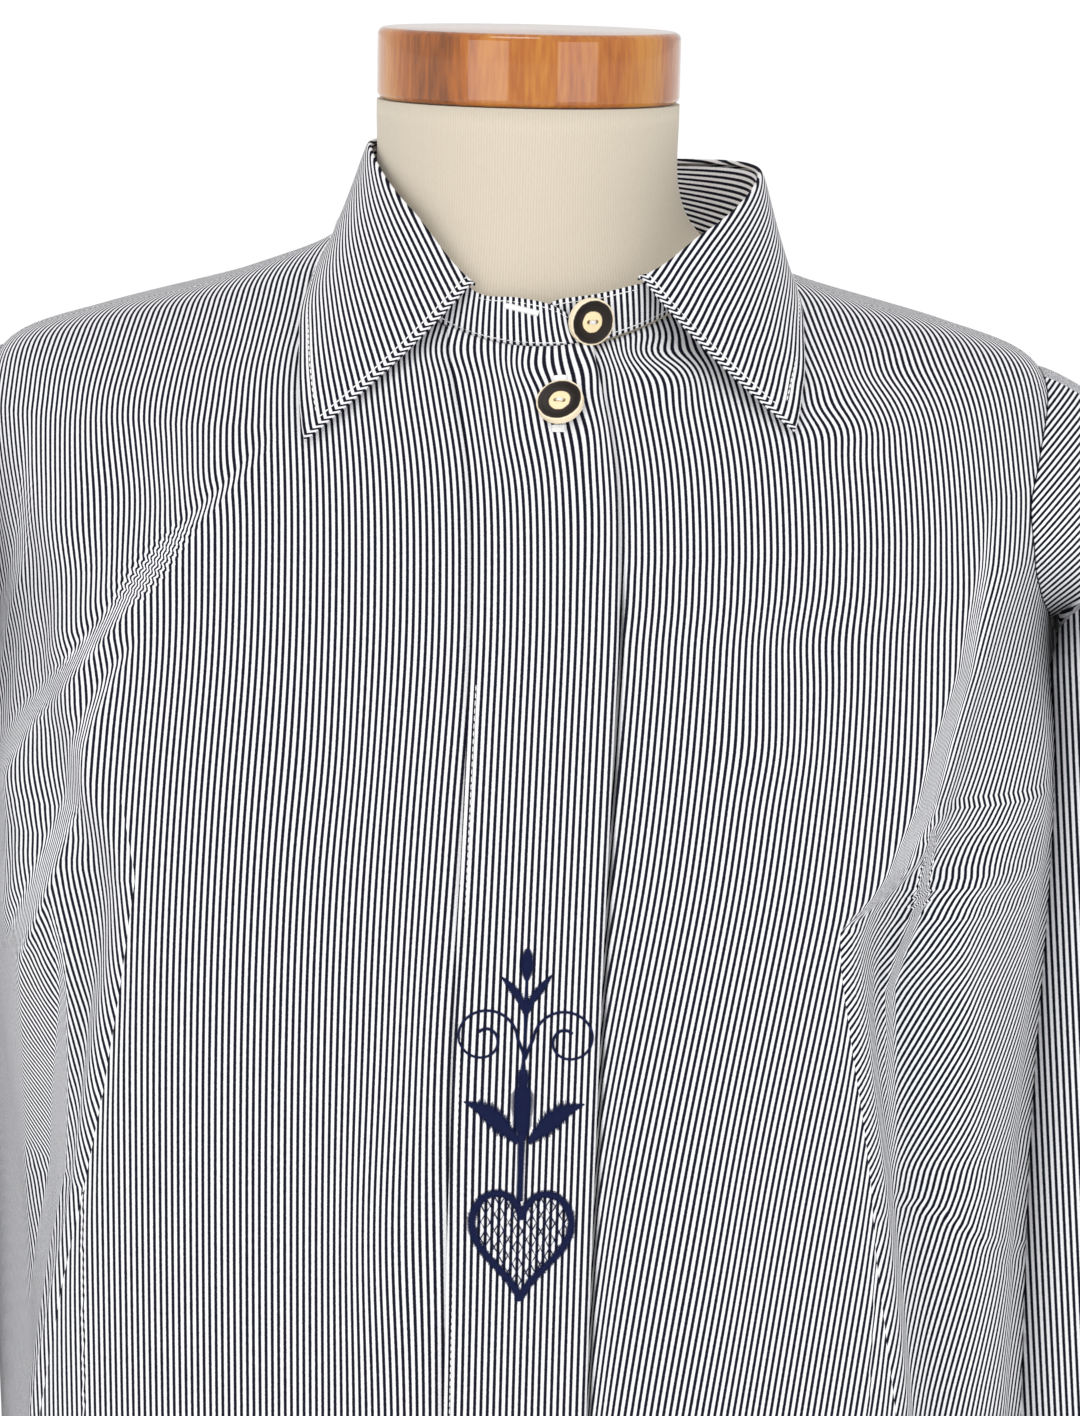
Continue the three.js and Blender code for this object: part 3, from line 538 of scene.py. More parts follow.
def front_uv(side, points, level, crease_column):
    """Lengths over the folds from the front edge, plus what the folds hide and the grain's lean."""
    x, z = points[..., 0], points[..., 2]
    u = eased_lengths(points)
    table = GRAIN_PLUS if side > 0 else GRAIN_MINUS
    across = np.clip(u / 70, 0, 1)
    u = u + side * grain_shift(table, z) * smoothstep(across, 0, 1) - side * pulled(x, z)
    for fold_side, rows in OPEN_FOLDS:
        if fold_side == side:
            u = u + hidden_cloth(rows, x, z)
    dart = DARTS[0 if side > 0 else 1][1]
    dart_z = np.interp(np.abs(x), [abs(row[1]) for row in dart], [row[0] for row in dart])
    beyond = np.abs(x) > abs(dart[0][1])
    u = u + DART_BREAK * beyond * (1 - smoothstep(z, dart_z - 1.5, dart_z + 1.5))
    _, closing, rows = CLOSED_FOLDS[0 if side > 0 else 1]
    hidden = read(rows, z, 2)
    spread = hidden_cloth(rows, x, z)
    closed = 1 - smoothstep(z, closing - 12, closing)
    inner = u + (1 - closed) * spread
    outer = u + (1 - closed) * spread + closed * hidden
    corners = corner_uv(side * inner, level)
    corners[:, crease_column:] = corner_uv(side * outer, level)[:, crease_column:]
    return corners


def front_edge(level):
    """Where the right front's buttoned edge lies at a height."""
    return along(FRONT_EDGE, level, 1)


# Beside the placket's edge the under front lies deeper, which leaves the edge its dark line.
GAP_DEPTH = 4.0
GAP_OPEN = 1.8


def hidden_edge(level):
    """Where the left front ends below the placket."""
    return front_edge(level) - UNDERLAP


def left_front_lift(x, station):
    past = x - front_edge(station)
    deep = 1 - smoothstep(past, GAP_OPEN - 0.6, GAP_OPEN + 0.8)
    below = 1 - smoothstep(station, 640, 700)
    return -GAP_DEPTH * deep * below * smoothstep(past, -UNDERLAP, -UNDERLAP + 15)


def beside_edge(level):
    return front_edge(level) - 2, front_edge(level) + 5


def right_front_lift(x, station):
    """The right front rises by a ply before it laps over."""
    return LAYER * smoothstep(x, hidden_edge(station) - 60, hidden_edge(station) - 20)


def mirrored(points, corners):
    """The same grid with its columns the other way round, so that its outer face turns over."""
    return points[:, ::-1], corners[:, ::-1][:, :, [1, 0, 3, 2]]


FRONT_ROWS = 220
UNDER_COLUMNS = 12
EDGE_COLUMNS = 16
INNER_COLUMNS = 118
OUTER_COLUMNS = 100
points, level = front_grid(
    1, hidden_edge, left_front_lift, INNER_COLUMNS, OUTER_COLUMNS, FRONT_ROWS, beside_edge,
)
front_left = grid_mesh("blouse_front_left", points, front_uv(1, points, level, INNER_COLUMNS - 1))
finish_cloth(front_left, CLOTH_THICKNESS, [cotton_lengthwise])
points, level = front_grid(-1, front_edge, right_front_lift, INNER_COLUMNS, OUTER_COLUMNS, FRONT_ROWS)
front_right = grid_mesh(
    "blouse_front_right", *mirrored(points, front_uv(-1, points, level, INNER_COLUMNS - 1)),
)
finish_cloth(front_right, CLOTH_THICKNESS, [cotton_lengthwise])

BACK_COLUMNS = 150
BACK_ROWS = 200
level = np.linspace(HEM, NECK, BACK_ROWS)[:, None]
half = 90 - SEAM_ANGLE - armhole(level, ARMHOLE_BACK)
angle = 180 - half * np.linspace(-1, 1, BACK_COLUMNS)[None, :]
points = cloth_point(angle, row_station(level, angle), 0.0, front=False)
u = arc_lengths(points, 1)
back = grid_mesh("blouse_back", *mirrored(points, corner_uv(u - u[:, [BACK_COLUMNS // 2]], level + 0 * u)))
finish_cloth(back, CLOTH_THICKNESS, [cotton_lengthwise])

for piece, cad, flat, area in (
    (front_left, "front_left", (0.33, 0.76), 0.21),
    (front_right, "front_right", (0.34, 0.76), 0.21),
    (back, "back", (0.56, 0.78), 0.38),
):
    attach(piece, "root")
    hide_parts(cad)


# ---- Placket ----
# A concealed front placket: a strip of the same cloth folded over the buttons, edge-pressed and stitched
# down its inner side, lying flat on the right front.
PLACKET_COLUMNS = 34


def placket_point(x, level, lift):
    """A point on the placket from its x and its level, raised above the right front."""
    angle = angle_at_x(x, level)
    return cloth_point(angle, row_station(level, angle), lift)


level = np.linspace(HEM, NECK, FRONT_ROWS)[:, None]
x = front_edge(level) - PLACKET_WIDTH * np.linspace(1, 0, PLACKET_COLUMNS)[None, :]
edge_round = 0.8 * smoothstep(x, front_edge(level) - 3, front_edge(level))
points = placket_point(x, level, 2 * LAYER - edge_round)
u = arc_lengths(points, 1)
u = u - u[:, [-1]] - pulled(points[..., 0], points[..., 2])
placket = grid_mesh("blouse_placket", points, corner_uv(u, level + 0 * u))
finish_cloth(placket, CLOTH_THICKNESS, [cotton_lengthwise])
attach(placket, "root")
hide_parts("placket")


# ---- Collar stand ----
# A doubled band with rounded ends. Its outer ply is cut across the stripes and its inner ply along them.
COLLAR_THICKNESS = 1.1
COLLAR_SHIFT = 15.0
COLLAR_HALF = 77.0
LEAF_START, LEAF_END = -26.0, -338.0
STAND_OVER, STAND_UNDER = 12.0, -364.0
STAND_RISE = 3.0
STAND_GAP = 0.6
STAND_CLEAR = 1.2
FOOT_SHIFT = 7.0
ROLL = 4.0
STAND_SHEAR = 6.5
FOLD_HEIGHT = (
    (-390, 771), (-338, 771), (-315, 787), (-270, 807), (-180, 806), (-90, 815), (-50, 793), (-26, 767),
    (-12, 766), (4, 767), (30, 766),
)
STAND_SHARE = (
    (-370, 0.1), (-364, 0.62), (-361, 0.8), (-350, 0.9), (-338, 1), (-26, 1), (-14, 0.98), (-3, 0.84),
    (6, 0.5), (12, 0.2),
)


def fold_point(angle, down=0.0, out=0.0):
    half = COLLAR_HALF + out
    x = COLLAR_SHIFT + half * np.sin(np.radians(angle))
    y = -half * np.cos(np.radians(angle))
    return np.stack((x, y + 0 * x, along(FOLD_HEIGHT, angle, 1) - down), -1)


def stand_point(u, v):
    """u from the end that laps over to the one under it, v up from the neckline."""
    angle = STAND_OVER + (STAND_UNDER - STAND_OVER) * u
    near = 1 - smoothstep(u, 0, 0.12)
    turned = (angle + 540) % 360 - 180
    around = turned + FOOT_SHIFT * np.cos(np.radians(turned))
    station = NECK - NECK_SLIP * np.sin(np.radians(around))
    neckline = body_point(around, station)
    upward = unit(body_point(around, station + 1) - neckline)
    out = (STAND_CLEAR + LAYER * near)[..., None]
    foot = neckline + upward * STAND_GAP + normal_of(body_point, around, NECK + 0 * around) * out
    top = fold_point(angle, ROLL, STAND_RISE * near)
    return foot + (top - foot) * (v * along(STAND_SHARE, angle, 1))[..., None]


u, v = np.meshgrid(np.linspace(0, 1, 320), np.linspace(0, 1, 14))
points = stand_point(u, v)
turned = np.radians(STAND_OVER + (STAND_UNDER - STAND_OVER) * u)
band_length = arc_lengths(points, 1)[[7]] - STAND_SHEAR * v * np.cos(turned)
stand = grid_mesh("blouse_collar_stand", *mirrored(points, corner_uv(band_length, v * 30)))
finish_cloth(stand, COLLAR_THICKNESS, [cotton_lengthwise, cotton_crosswise])
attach(stand, "root")
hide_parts("collar_stand")


# ---- Collar leaf ----
# The turned-down part of the collar, two plies with the stripes along it, topstitched near its edges.
LEAF_WIDTH = 68.0
EVEN_GRAIN = 0.5
LEAF_END_SHARE = 0.012
EDGE_STRIP = 1.8
EDGE_TWIST = 1.6
LEAF_BULGE = ((-340, 13), (-300, 8), (-270, 5), (-180, 8), (-90, 4), (-60, 5), (-24, 13))
LEAF_EDGE = (
    (-338, 29, 756, 4), (-325, 38.5, 785, 4), (-305, 53, 815, 4), (-285, 70, 835, 3.5), (-270, 86, 846, 3),
    (-250, 108, 847, 3), (-225, 136, 815, 3), (-180, 177, 769, 3), (-135, 217, 828, 3),
    (-110, 250, 874, 2.5),
    (-90, 280, 876, 2.5), (-75, 297, 858, 3), (-62, 311, 837, 3.5), (-52, 321, 818, 4),
    (-40, 330.5, 790, 4),
    (-26, 340, 751, 4),
)


def leaf_point(u, v):
    """u from the -X front end to the +X one, v from the fold to the free edge."""
    angle = LEAF_START + (LEAF_END - LEAF_START) * u
    around = along(LEAF_EDGE, angle, 1)
    station = along(LEAF_EDGE, angle, 2)
    clear = along(LEAF_EDGE, angle, 3)
    start = fold_point(angle, ROLL - 1.65)
    crest = fold_point(angle, -ROLL, 1)
    outer = fold_point(angle, 12, along(LEAF_BULGE, angle, 1))
    edge = body_point(around, station) + normal_of(body_point, around, station) * clear[..., None]
    t = v[..., None]
    return start * (1 - t) ** 3 + 3 * crest * t * (1 - t) ** 2 + 3 * outer * t**2 * (1 - t) + edge * t**3


near_end = np.linspace(0, LEAF_END_SHARE, 12)
middle = np.linspace(LEAF_END_SHARE, 1 - LEAF_END_SHARE, 270)
u, v = np.meshgrid(np.concatenate((near_end, middle[1:-1], 1 - near_end[::-1])), np.linspace(0, 1, 60))
points = leaf_point(u, v)
down = arc_lengths(points, 0)
length = arc_lengths(points, 1)
end_distance = np.minimum(length, length[:, [-1]] - length)
across = EVEN_GRAIN * LEAF_WIDTH * down / down[[-1]] + (1 - EVEN_GRAIN) * (down - down[[-1]])
across = across + EDGE_TWIST * np.maximum(EDGE_STRIP - end_distance, 0)
leaf = grid_mesh("blouse_collar", *mirrored(points, corner_uv(across, length)))
finish_cloth(leaf, COLLAR_THICKNESS, [cotton_lengthwise])
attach(leaf, "root")
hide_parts("collar")


# ---- Sleeves ----
# Two set-in sleeves of the same cloth. With no arm in them they hang limp beside the body, and their
# fullness folds over below the shoulder.
SLEEVE_LENGTH = 530.0
SLEEVE_BACK = 8.0
NEAR_SLEEVE_IN = 1.0
ARMHOLE_GAP = 0.6
SLEEVE_X, SLEEVE_Z, ACROSS, DEPTH, LEAN = range(1, 6)
SLEEVE = (
    (40, 234, 668, 36, 74, 62), (88, 245, 636, 31, 80, 38), (132, 250, 597, 28, 79, 22),
    (185, 252, 545, 26, 75, 7), (250, 253, 480, 26, 72, 0), (350, 253, 380, 25, 66, 0),
    (450, 252, 280, 23, 57, 0), (530, 250, 200, 19, 46, 0),
)


def armhole_edge(side, turn, out):
    level = ARMPIT + (SHOULDER_TIP - ARMPIT) * (0.5 - 0.5 * np.cos(2 * np.pi * turn))
    ahead = np.sin(2 * np.pi * turn) >= 0
    opening = armhole(level, np.where(ahead, ARMHOLE_FRONT[side], ARMHOLE_BACK))
    angle = side * np.where(ahead, 90 - opening, 90 + opening)
    edge = np.where(ahead[..., None], cloth_point(angle, level), cloth_point(angle, level, front=False))
    inward = body_point(side * 90.0, (ARMPIT + SHOULDER_TIP) / 2) - edge
    inward[..., 0] = 0
    return edge + unit(np.array((side, 0, 0)) + 0.2 * unit(inward)) * out


# How much nearer the sleeve's inner side hangs to the body than its rings say: length, mm.
SLEEVE_NEARER = ((0, 0), (60, 1), (132, 3), (185, 4.5), (250, 6.5), (350, 7.5), (530, 8.5))
SLEEVE_FLAT = 0.25
# How far the sleeve's front corner is drawn in at its inner side, in mm, for each side.
CORNER_IN = {1: 10.5, -1: 1.0}
# The fullness folds over along a line through this height and this distance out, and bulges by the lift.
TUCK_Z, TUCK_OUT, TUCK_SLOPE, TUCK_LIFT = 619.5, 214.5, 1.1, 6.0
# The stripes above that line: their slant, how closely they pack and the place they turn about.
UPPER_TURN = math.radians(41)
UPPER_PACK = 1.25
UPPER_MIDDLE = (270.0, 700.0)
# The stripes below it lean about a level, and its inner front shows them as they run on the outer front.
LOWER_LEAN = math.tan(math.radians(5))
LEVEL_OF_LEAN = 600.0
FACE_TURN = 0.3
# How far a place moves out, or up, for each mm it lies further forward.
SIDE_SLOPE = 0.125
VIEW_SLOPE = 0.175


def sleeve_ring(side, turn, length):
    lean = np.radians(along(SLEEVE, length, LEAN))
    cosine = np.cos(2 * np.pi * turn)
    inner = -along(SLEEVE, length, ACROSS) * cosine
    inner -= np.interp(length, *zip(*SLEEVE_NEARER)) * np.maximum(cosine, 0)
    corner = smoothstep(turn, 0.01, 0.05) * (1 - smoothstep(turn, 0.14, 0.28))
    inner -= CORNER_IN[side] * smoothstep(length, 40, 90) * corner
    x = along(SLEEVE, length, SLEEVE_X) + inner * np.cos(lean) - (NEAR_SLEEVE_IN if side < 0 else 0)
    sine = np.sin(2 * np.pi * turn)
    flat = 0.5 + (SLEEVE_FLAT - 0.5) * smoothstep(length, 90, 170)
    y = SLEEVE_BACK - along(SLEEVE, length, DEPTH) * signed_power(sine, np.where(sine > 0, flat, 0.9))
    return np.stack((side * x, y, along(SLEEVE, length, SLEEVE_Z) + inner * np.sin(lean)), -1)


def sleeve_point(side, turn, length):
    first = float(SLEEVE[0][0])
    start = armhole_edge(side, turn, ARMHOLE_GAP)
    leave = armhole_edge(side, turn, ARMHOLE_GAP + first) - start
    end = sleeve_ring(side, turn, first + 0 * turn)
    arrive = (sleeve_ring(side, turn, first + 1 + 0 * turn) - end) * first
    t = np.clip(length / first, 0, 1)[..., None]
    cap = start * (2 * t**3 - 3 * t**2 + 1) + 0.7 * leave * (t**3 - 2 * t**2 + t)
    cap += end * (3 * t**2 - 2 * t**3) + arrive * (t**3 - t**2)
    hanging = sleeve_ring(side, turn, np.maximum(length, first))
    return np.where((length < first)[..., None], cap, hanging)


def outward(side, points):
    """How far out a place of the sleeve lies, counted a little further for what lies further forward."""
    return side * points[..., 0] - SIDE_SLOPE * points[..., 1]


def above_tuck(side, points):
    """How far a place lies above the line where the sleeve's fullness folds over, in mm."""
    up = points[..., 2] + VIEW_SLOPE * points[..., 1]
    return up - TUCK_Z - (outward(side, points) - TUCK_OUT) * TUCK_SLOPE


def in_front(turn):
    return smoothstep(turn, 0, 0.015) * (1 - smoothstep(turn, 0.44, 0.49))


def tucked(side, points, turn, length):
    """The front of the sleeve bulges forward above the tuck line and ends there in a fold."""
    above = above_tuck(side, points)
    bulge = smoothstep(above, -1, 3) * (1 - smoothstep(above, 8, 55)) * smoothstep(length, 0, 30)
    moved = points.copy()
    moved[..., 1] -= TUCK_LIFT * in_front(turn) * bulge
    return moved


def sleeve_pattern(side, points, turn, length):
    """Stripes along the sleeve, slanting above the tuck where the fullness hangs askew."""
    out, up = outward(side, points), points[..., 2]
    u = arc_lengths(points, 1)
    face = int(FACE_TURN * SLEEVE_COLUMNS)
    inner = u[:, [face]] + (out - out[:, [face]])
    u = np.where(turn < FACE_TURN, inner, u)
    u = u - u[:, [face]] + out[:, [face]]
    u = side * (u + LOWER_LEAN * (up - LEVEL_OF_LEAN))
    middle_out, middle_up = UPPER_MIDDLE
    slanted = (out - middle_out) * math.cos(UPPER_TURN) - (up - middle_up) * math.sin(UPPER_TURN)
    askew = in_front(turn) * smoothstep(above_tuck(side, points), -0.5, 0.5)
    return u + (side * UPPER_PACK * slanted - u) * askew, -arc_lengths(points, 0)


SLEEVE_COLUMNS = 140
SLEEVE_ROWS = 150
for side, word in ((1, "left"), (-1, "right")):
    turn, length = np.meshgrid(
        np.linspace(0, 1, SLEEVE_COLUMNS), SLEEVE_LENGTH * np.linspace(0, 1, SLEEVE_ROWS) ** 1.3,
    )
    points = tucked(side, sleeve_point(side, turn, length), turn, length)
    corners = corner_uv(*sleeve_pattern(side, points, turn, length))
    sleeve = grid_mesh(
        f"blouse_sleeve_{word}", *(mirrored(points, corners) if side > 0 else (points, corners)),
    )
    finish_cloth(sleeve, CLOTH_THICKNESS, [cotton_lengthwise])
    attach(sleeve, "root")
    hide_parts(f"sleeve_{word}")


# ---- Cuffs ----
# Doubled bands, 62 mm deep, lapped and closed by one button.
CUFF_HEIGHT = 62.0
CUFF_START = 108.0
CUFF_LAP = 24.0
CUFF_RISE = 2.2


def cuff_point(side, u, v):
    degrees = CUFF_START + u * (360 + CUFF_LAP)
    rise = CUFF_RISE * smoothstep(u, 0.75, 0.96)
    wrist = SLEEVE[-1]
    half, depth = [wrist[k] + rise + 1 for k in (ACROSS, DEPTH)]
    x = wrist[SLEEVE_X] - (NEAR_SLEEVE_IN if side < 0 else 0) + half * np.sin(np.radians(degrees))
    y = SLEEVE_BACK - depth * np.cos(np.radians(degrees))
    return np.stack((side * x, y, wrist[SLEEVE_Z] - 0.6 - CUFF_HEIGHT * (1 - v)), -1)


for side, word in ((1, "left"), (-1, "right")):
    u, v = np.meshgrid(np.linspace(0, 1, 160), np.linspace(0, 1, 24))
    points = cuff_point(side, u, v)
    corners = corner_uv(arc_lengths(points, 1), v * CUFF_HEIGHT)
    if side < 0:
        points, corners = mirrored(points, corners)
    cuff = grid_mesh(f"blouse_cuff_{word}", points, corners)
    finish_cloth(cuff, COLLAR_THICKNESS, [cotton_crosswise])
    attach(cuff, "root")
    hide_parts(f"cuff_{word}")


# ---- Sewing thread ----
# White polyester thread: lockstitch lines 2 mm in from the collar's and the placket's edges and on the
# stand, about 4 stitches a centimetre. Each stitch is one low arch of thread.
STITCH = 2.5
STITCH_GAP = 0.35
STITCH_RISE = 0.22
THREAD = 0.42
COLLAR_THREAD = 0.6


def thread_arches(starts, ends, normals, width, height, steps=4, sides=4):
    """One low arch of thread from each start to its end. Places and faces, in mm."""
    share = np.linspace(0, 1, steps + 1)
    turn = 2 * np.pi * np.arange(sides) / sides
    across = unit(np.cross(normals, unit(ends - starts)))
    middle = starts[:, None] + (ends - starts)[:, None] * share[None, :, None]
    middle = middle + normals[:, None] * (height * np.sin(np.pi * share))[None, :, None]
    thin = np.clip(np.sin(np.pi * share) ** 0.5, 0.25, 1)[None, :, None, None]
    side_way = across[:, None, None] * (np.cos(turn) * width / 2)[None, None, :, None]
    up_way = normals[:, None, None] * (np.sin(turn) * width / 3)[None, None, :, None]
    places = middle[:, :, None] + thin * (side_way + up_way)
    faces = [tuple(range(sides))[::-1], tuple(range(steps * sides, (steps + 1) * sides))]
    for low in range(0, steps * sides, sides):
        for k in range(sides):
            after = (k + 1) % sides
            faces.append((low + k, low + after, low + sides + after, low + sides + k))
    size = (steps + 1) * sides
    moved = [tuple(i + arch * size for i in face) for arch in range(len(starts)) for face in faces]
    return places.reshape(-1, 3), moved


def thread_mesh(name, groups, material):
    """One object out of several groups of arches."""
    places, faces = [], []
    for group_places, group_faces in groups:
        base = sum(map(len, places))
        places.append(group_places)
        faces += [tuple(i + base for i in face) for face in group_faces]
    piece = smooth_piece(name, np.concatenate(places), faces)
    piece.data.materials.append(material)
    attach(piece, "root")


def read_path(path, far, at):
    """Places of a path at distances along it, far being the distances of its own points."""
    return np.stack([np.interp(at, far, column) for column in path.T], -1)


def stitch_line(path, normals, width):
    """Stitches along a path of places, which lie on the cloth's outer face."""
    far = arc_lengths(path, 0)
    start = np.arange(int(far[-1] / (STITCH + STITCH_GAP))) * (STITCH + STITCH_GAP) + STITCH_GAP / 2
    starts, ends = read_path(path, far, start), read_path(path, far, start + STITCH)
    return thread_arches(starts, ends, read_path(normals, far, start), width, STITCH_RISE)


def surface_line(surface, u, v, out):
    """Places and normals along a line of u and v on a surface, a distance out from it."""
    normal = normal_of(surface, u, v)
    return surface(u, v) + normal * out, normal


def thread_material(name, colour):
    """Twisted yarn, 0.4 mm from ply to ply."""
    material = new_material(name)
    place = node(material, "ShaderNodeTexCoord").outputs["Object"]
    bump = relief(material, 0.4, noise(material, place, 1 / (0.4 * MM), 1.0).outputs["Fac"], 0.1 * MM)
    return principled(
        material, Base_Color=linear(colour), Roughness=0.6, Specular_IOR_Level=0.12, Normal=bump,
    )


white_thread = thread_material("white_polyester_thread", "#eeeeee")
navy_thread = thread_material("navy_embroidery_thread", "#121a40")

PLACKET_STITCH = 2.6
PLACKET_STITCH_TOP = 626.0
LEAF_STITCH = 0.965
OUTSIDE = CLOTH_THICKNESS / 2
DOUBLED_OUTSIDE = COLLAR_THICKNESS / 2


def placket_top(x, level):
    return placket_point(x, level, 2 * LAYER)


def placket_face(x, level, out):
    """A place on the placket's outer face, and its normal."""
    normal = normal_of(placket_top, x, level, 0.5)
    return placket_top(x, level) + normal * (OUTSIDE + out), normal


def leaf_inside(u, v):
    return leaf_point(np.clip(u, 0, 1), v)


def leaf_line(u, v):
    return surface_line(leaf_inside, u, v, DOUBLED_OUTSIDE + 0.12)


def stand_line(u, v):
    """A line on the stand's face toward the viewer, its normals pointing away from the neck."""
    places, normals = surface_line(stand_point, u, 0 * u + v, -DOUBLED_OUTSIDE)
    return places, -normals


level = np.linspace(HEM + 4, PLACKET_STITCH_TOP, 200)
placket_line = placket_face(front_edge(level) - PLACKET_WIDTH + PLACKET_STITCH, level, 0.05)
u = np.linspace(0.012, 0.988, 500)
v = np.linspace(0.1, LEAF_STITCH, 120)
leaf_lines = [leaf_line(u, 0 * u + LEAF_STITCH), leaf_line(0 * v + 0.007, v), leaf_line(0 * v + 0.993, v)]
stand_lines = [
    stand_line(np.linspace(0.02, 0.98, 400), 0.09),
    stand_line(np.linspace(0.012, 0.1, 40), 0.9),
    stand_line(np.linspace(0.93, 0.995, 40), 0.9),
]
for name, width, lines in (
    ("placket_topstitching", THREAD, [placket_line]),
    ("collar_topstitching", COLLAR_THREAD, leaf_lines),
    ("stand_topstitching", THREAD, stand_lines),
):
    thread_mesh(name, [stitch_line(path, normals, width) for path, normals in lines], white_thread)


# ---- Embroidery ----
# Navy satin stitch on the placket: a bud, two leaves and two scrolls over a tulip on a stem, with a heart
# and its thread lattice at the foot. Each stitch is a thread laid straight across its shape.
AXIS_TOP = (6.9, 524.0)
AXIS_FOOT = (6.7, 386.0)
SATIN_PITCH = 0.38
SATIN_THREAD = 0.5
LATTICE_THREAD = 0.5
LATTICE_OUT = 0.12
LATTICE_SPACING = 3.1


def on_axis(across, down):
    """A place of the motif, across from its axis and down from its top, both in mm."""
    t = down / (AXIS_TOP[1] - AXIS_FOOT[1])
    return AXIS_TOP[0] + (AXIS_FOOT[0] - AXIS_TOP[0]) * t + across, AXIS_TOP[1] - down


def sewn(start, end, pitch=SATIN_THREAD, out=0.15):
    """Threads from start places to end places of the motif, each given as arrays of across and down."""
    a, normal = placket_face(*on_axis(*start), out)
    b, _ = placket_face(*on_axis(*end), out)
    return thread_arches(a, b, normal, pitch, 0.28)


def satin(path, widths, slant=0.0, ragged=0.0):
    """Satin stitch along a path of (across, down) places, as wide as the widths, in mm."""
    path = np.asarray(path, float)
    far = arc_lengths(path, 0)
    at = np.arange(0, far[-1], SATIN_PITCH)
    middle = read_path(path, far, at)
    way = unit(np.gradient(middle, axis=0))
    turned = np.stack((-way[:, 1], way[:, 0]), -1) * math.cos(slant) + way * math.sin(slant)
    half = np.interp(at, np.linspace(0, far[-1], len(widths)), widths)[:, None] / 2
    uneven = random.Random(7)
    half = half * np.array([[1 + ragged * uneven.uniform(-1, 1)] for _ in at])
    return sewn((middle - turned * half).T, (middle + turned * half).T)


def curve(points, count=40):
    """A smooth path through a few places."""
    at = np.linspace(0, len(points) - 1, count)
    rows = [(k, *point) for k, point in enumerate(points)]
    return np.stack((along(rows, at, 1), along(rows, at, 2)), -1)


HEART_TOP, HEART_HALF, HEART_HEIGHT = 95.0, 19.0, 43.0


def heart_outline(count=160):
    """A heart from its notch round to its notch again, as a round-shouldered cardioid with a long point."""
    t = np.linspace(0, 2 * np.pi, count)
    across = HEART_HALF * np.sin(t) ** 3
    rise = (13 * np.cos(t) - 5 * np.cos(2 * t) - 2 * np.cos(3 * t) - np.cos(4 * t)) / 17
    down = HEART_TOP + HEART_HEIGHT * (0.70 - rise) / 1.70
    return np.stack((across, down), -1)


def inside_heart(across, down, outline):
    inside = np.zeros(across.shape, bool)
    for (x0, y0), (x1, y1) in zip(outline, outline[1:]):
        crosses = (y0 > down) != (y1 > down)
        at = x0 + (down - y0) * (x1 - x0) / (y1 - y0 if y1 != y0 else 1e-9)
        inside ^= crosses & (across < at)
    return inside


def lattice(outline, lean, spacing):
    """Straight threads across the heart at one lean, cut to its outline."""
    starts, ends = [], []
    direction = np.array((math.sin(lean), math.cos(lean)))
    sideways = np.array((direction[1], -direction[0]))
    middle = np.array((0.0, HEART_TOP + HEART_HEIGHT / 2))
    for offset in np.arange(-40, 40, spacing):
        at = np.linspace(-35, 35, 281)
        line = middle + sideways * offset + direction * at[:, None]
        inside = inside_heart(line[:, 0], line[:, 1], outline)
        if inside.sum() > 8:
            where = np.flatnonzero(inside)
            for part in np.split(where, np.flatnonzero(np.diff(where) > 1) + 1):
                cuts = np.linspace(part[0], part[-1], max(2, len(part) // 24 + 1)).astype(int)
                starts += [line[k] for k in cuts[:-1]]
                ends += [line[k] for k in cuts[1:]]
    return sewn(np.array(starts).T, np.array(ends).T, LATTICE_THREAD, LATTICE_OUT)


# The scrolls wind inward from the stem: turn in degrees, radius.
SCROLL_CENTRE = (15.4, 33.6)
SCROLL_RADIUS = ((0, 12.4), (90, 10.4), (180, 9.8), (270, 7.6), (360, 4.8), (450, 3.4), (500, 3.0))
motif = [
    satin([(0.1, 0), (0, 11.5)], [2.2, 5.4, 6.2, 6.0, 4.2, 1.6]),
    satin([(0, 10), (0, 40)], [1.0, 1.4, 2.6, 1.5, 1.2, 1.2]),
    satin([(-0.6, 46), (-0.6, 49), (-0.6, 74)], [4, 6, 4.6, 8.6, 9, 8.6, 7.4, 7.4, 5.2, 3.0]),
    satin([(-0.6, 39), (-0.6, 47)], [1.2, 1.6, 3.0]),
    satin([(-0.7, 72), (-0.9, 98)], [3.4, 3.0, 2.8, 3.0]),
]
for hand in (-1, 1):
    tip = 10.5 if hand < 0 else 9.4
    bud = curve([(9.2 * hand, tip), (5.2 * hand, 14.5), (2.2 * hand, 19), (0.4 * hand, 24)])
    motif.append(satin(bud, [0.8, 3.6, 4.4, 3.4, 1.8], 0.5 * hand, 0.15))
    blade = curve([(22.6 * hand, 59), (15 * hand, 62.5), (8 * hand, 68), (2.0 * hand, 74.5)])
    motif.append(satin(blade, [0.8, 5.6, 10.6, 10.0, 6.2, 2.4], -0.5 * hand, 0.22))
    turn = np.linspace(0, 500, 110)
    radius = along(SCROLL_RADIUS, turn, 1)
    across = hand * (SCROLL_CENTRE[0] - radius * np.cos(np.radians(turn)))
    down = SCROLL_CENTRE[1] - radius * np.sin(np.radians(turn))
    rise = curve([(0.0, 41.5), (hand * 1.1, 38.2), (across[0], down[0])], 14)
    motif.append(
        satin(np.concatenate((rise[:-1], np.stack((across, down), -1))), [1.5, 1.2, 1.1, 1.1, 1.4]),
    )
outline = heart_outline()
motif.append(satin(outline, [3.5, 3.5], 0.15, 0.16))
motif += [lattice(outline, math.radians(lean), LATTICE_SPACING) for lean in (28, -28)]
thread_mesh("placket_embroidery", motif, navy_thread)


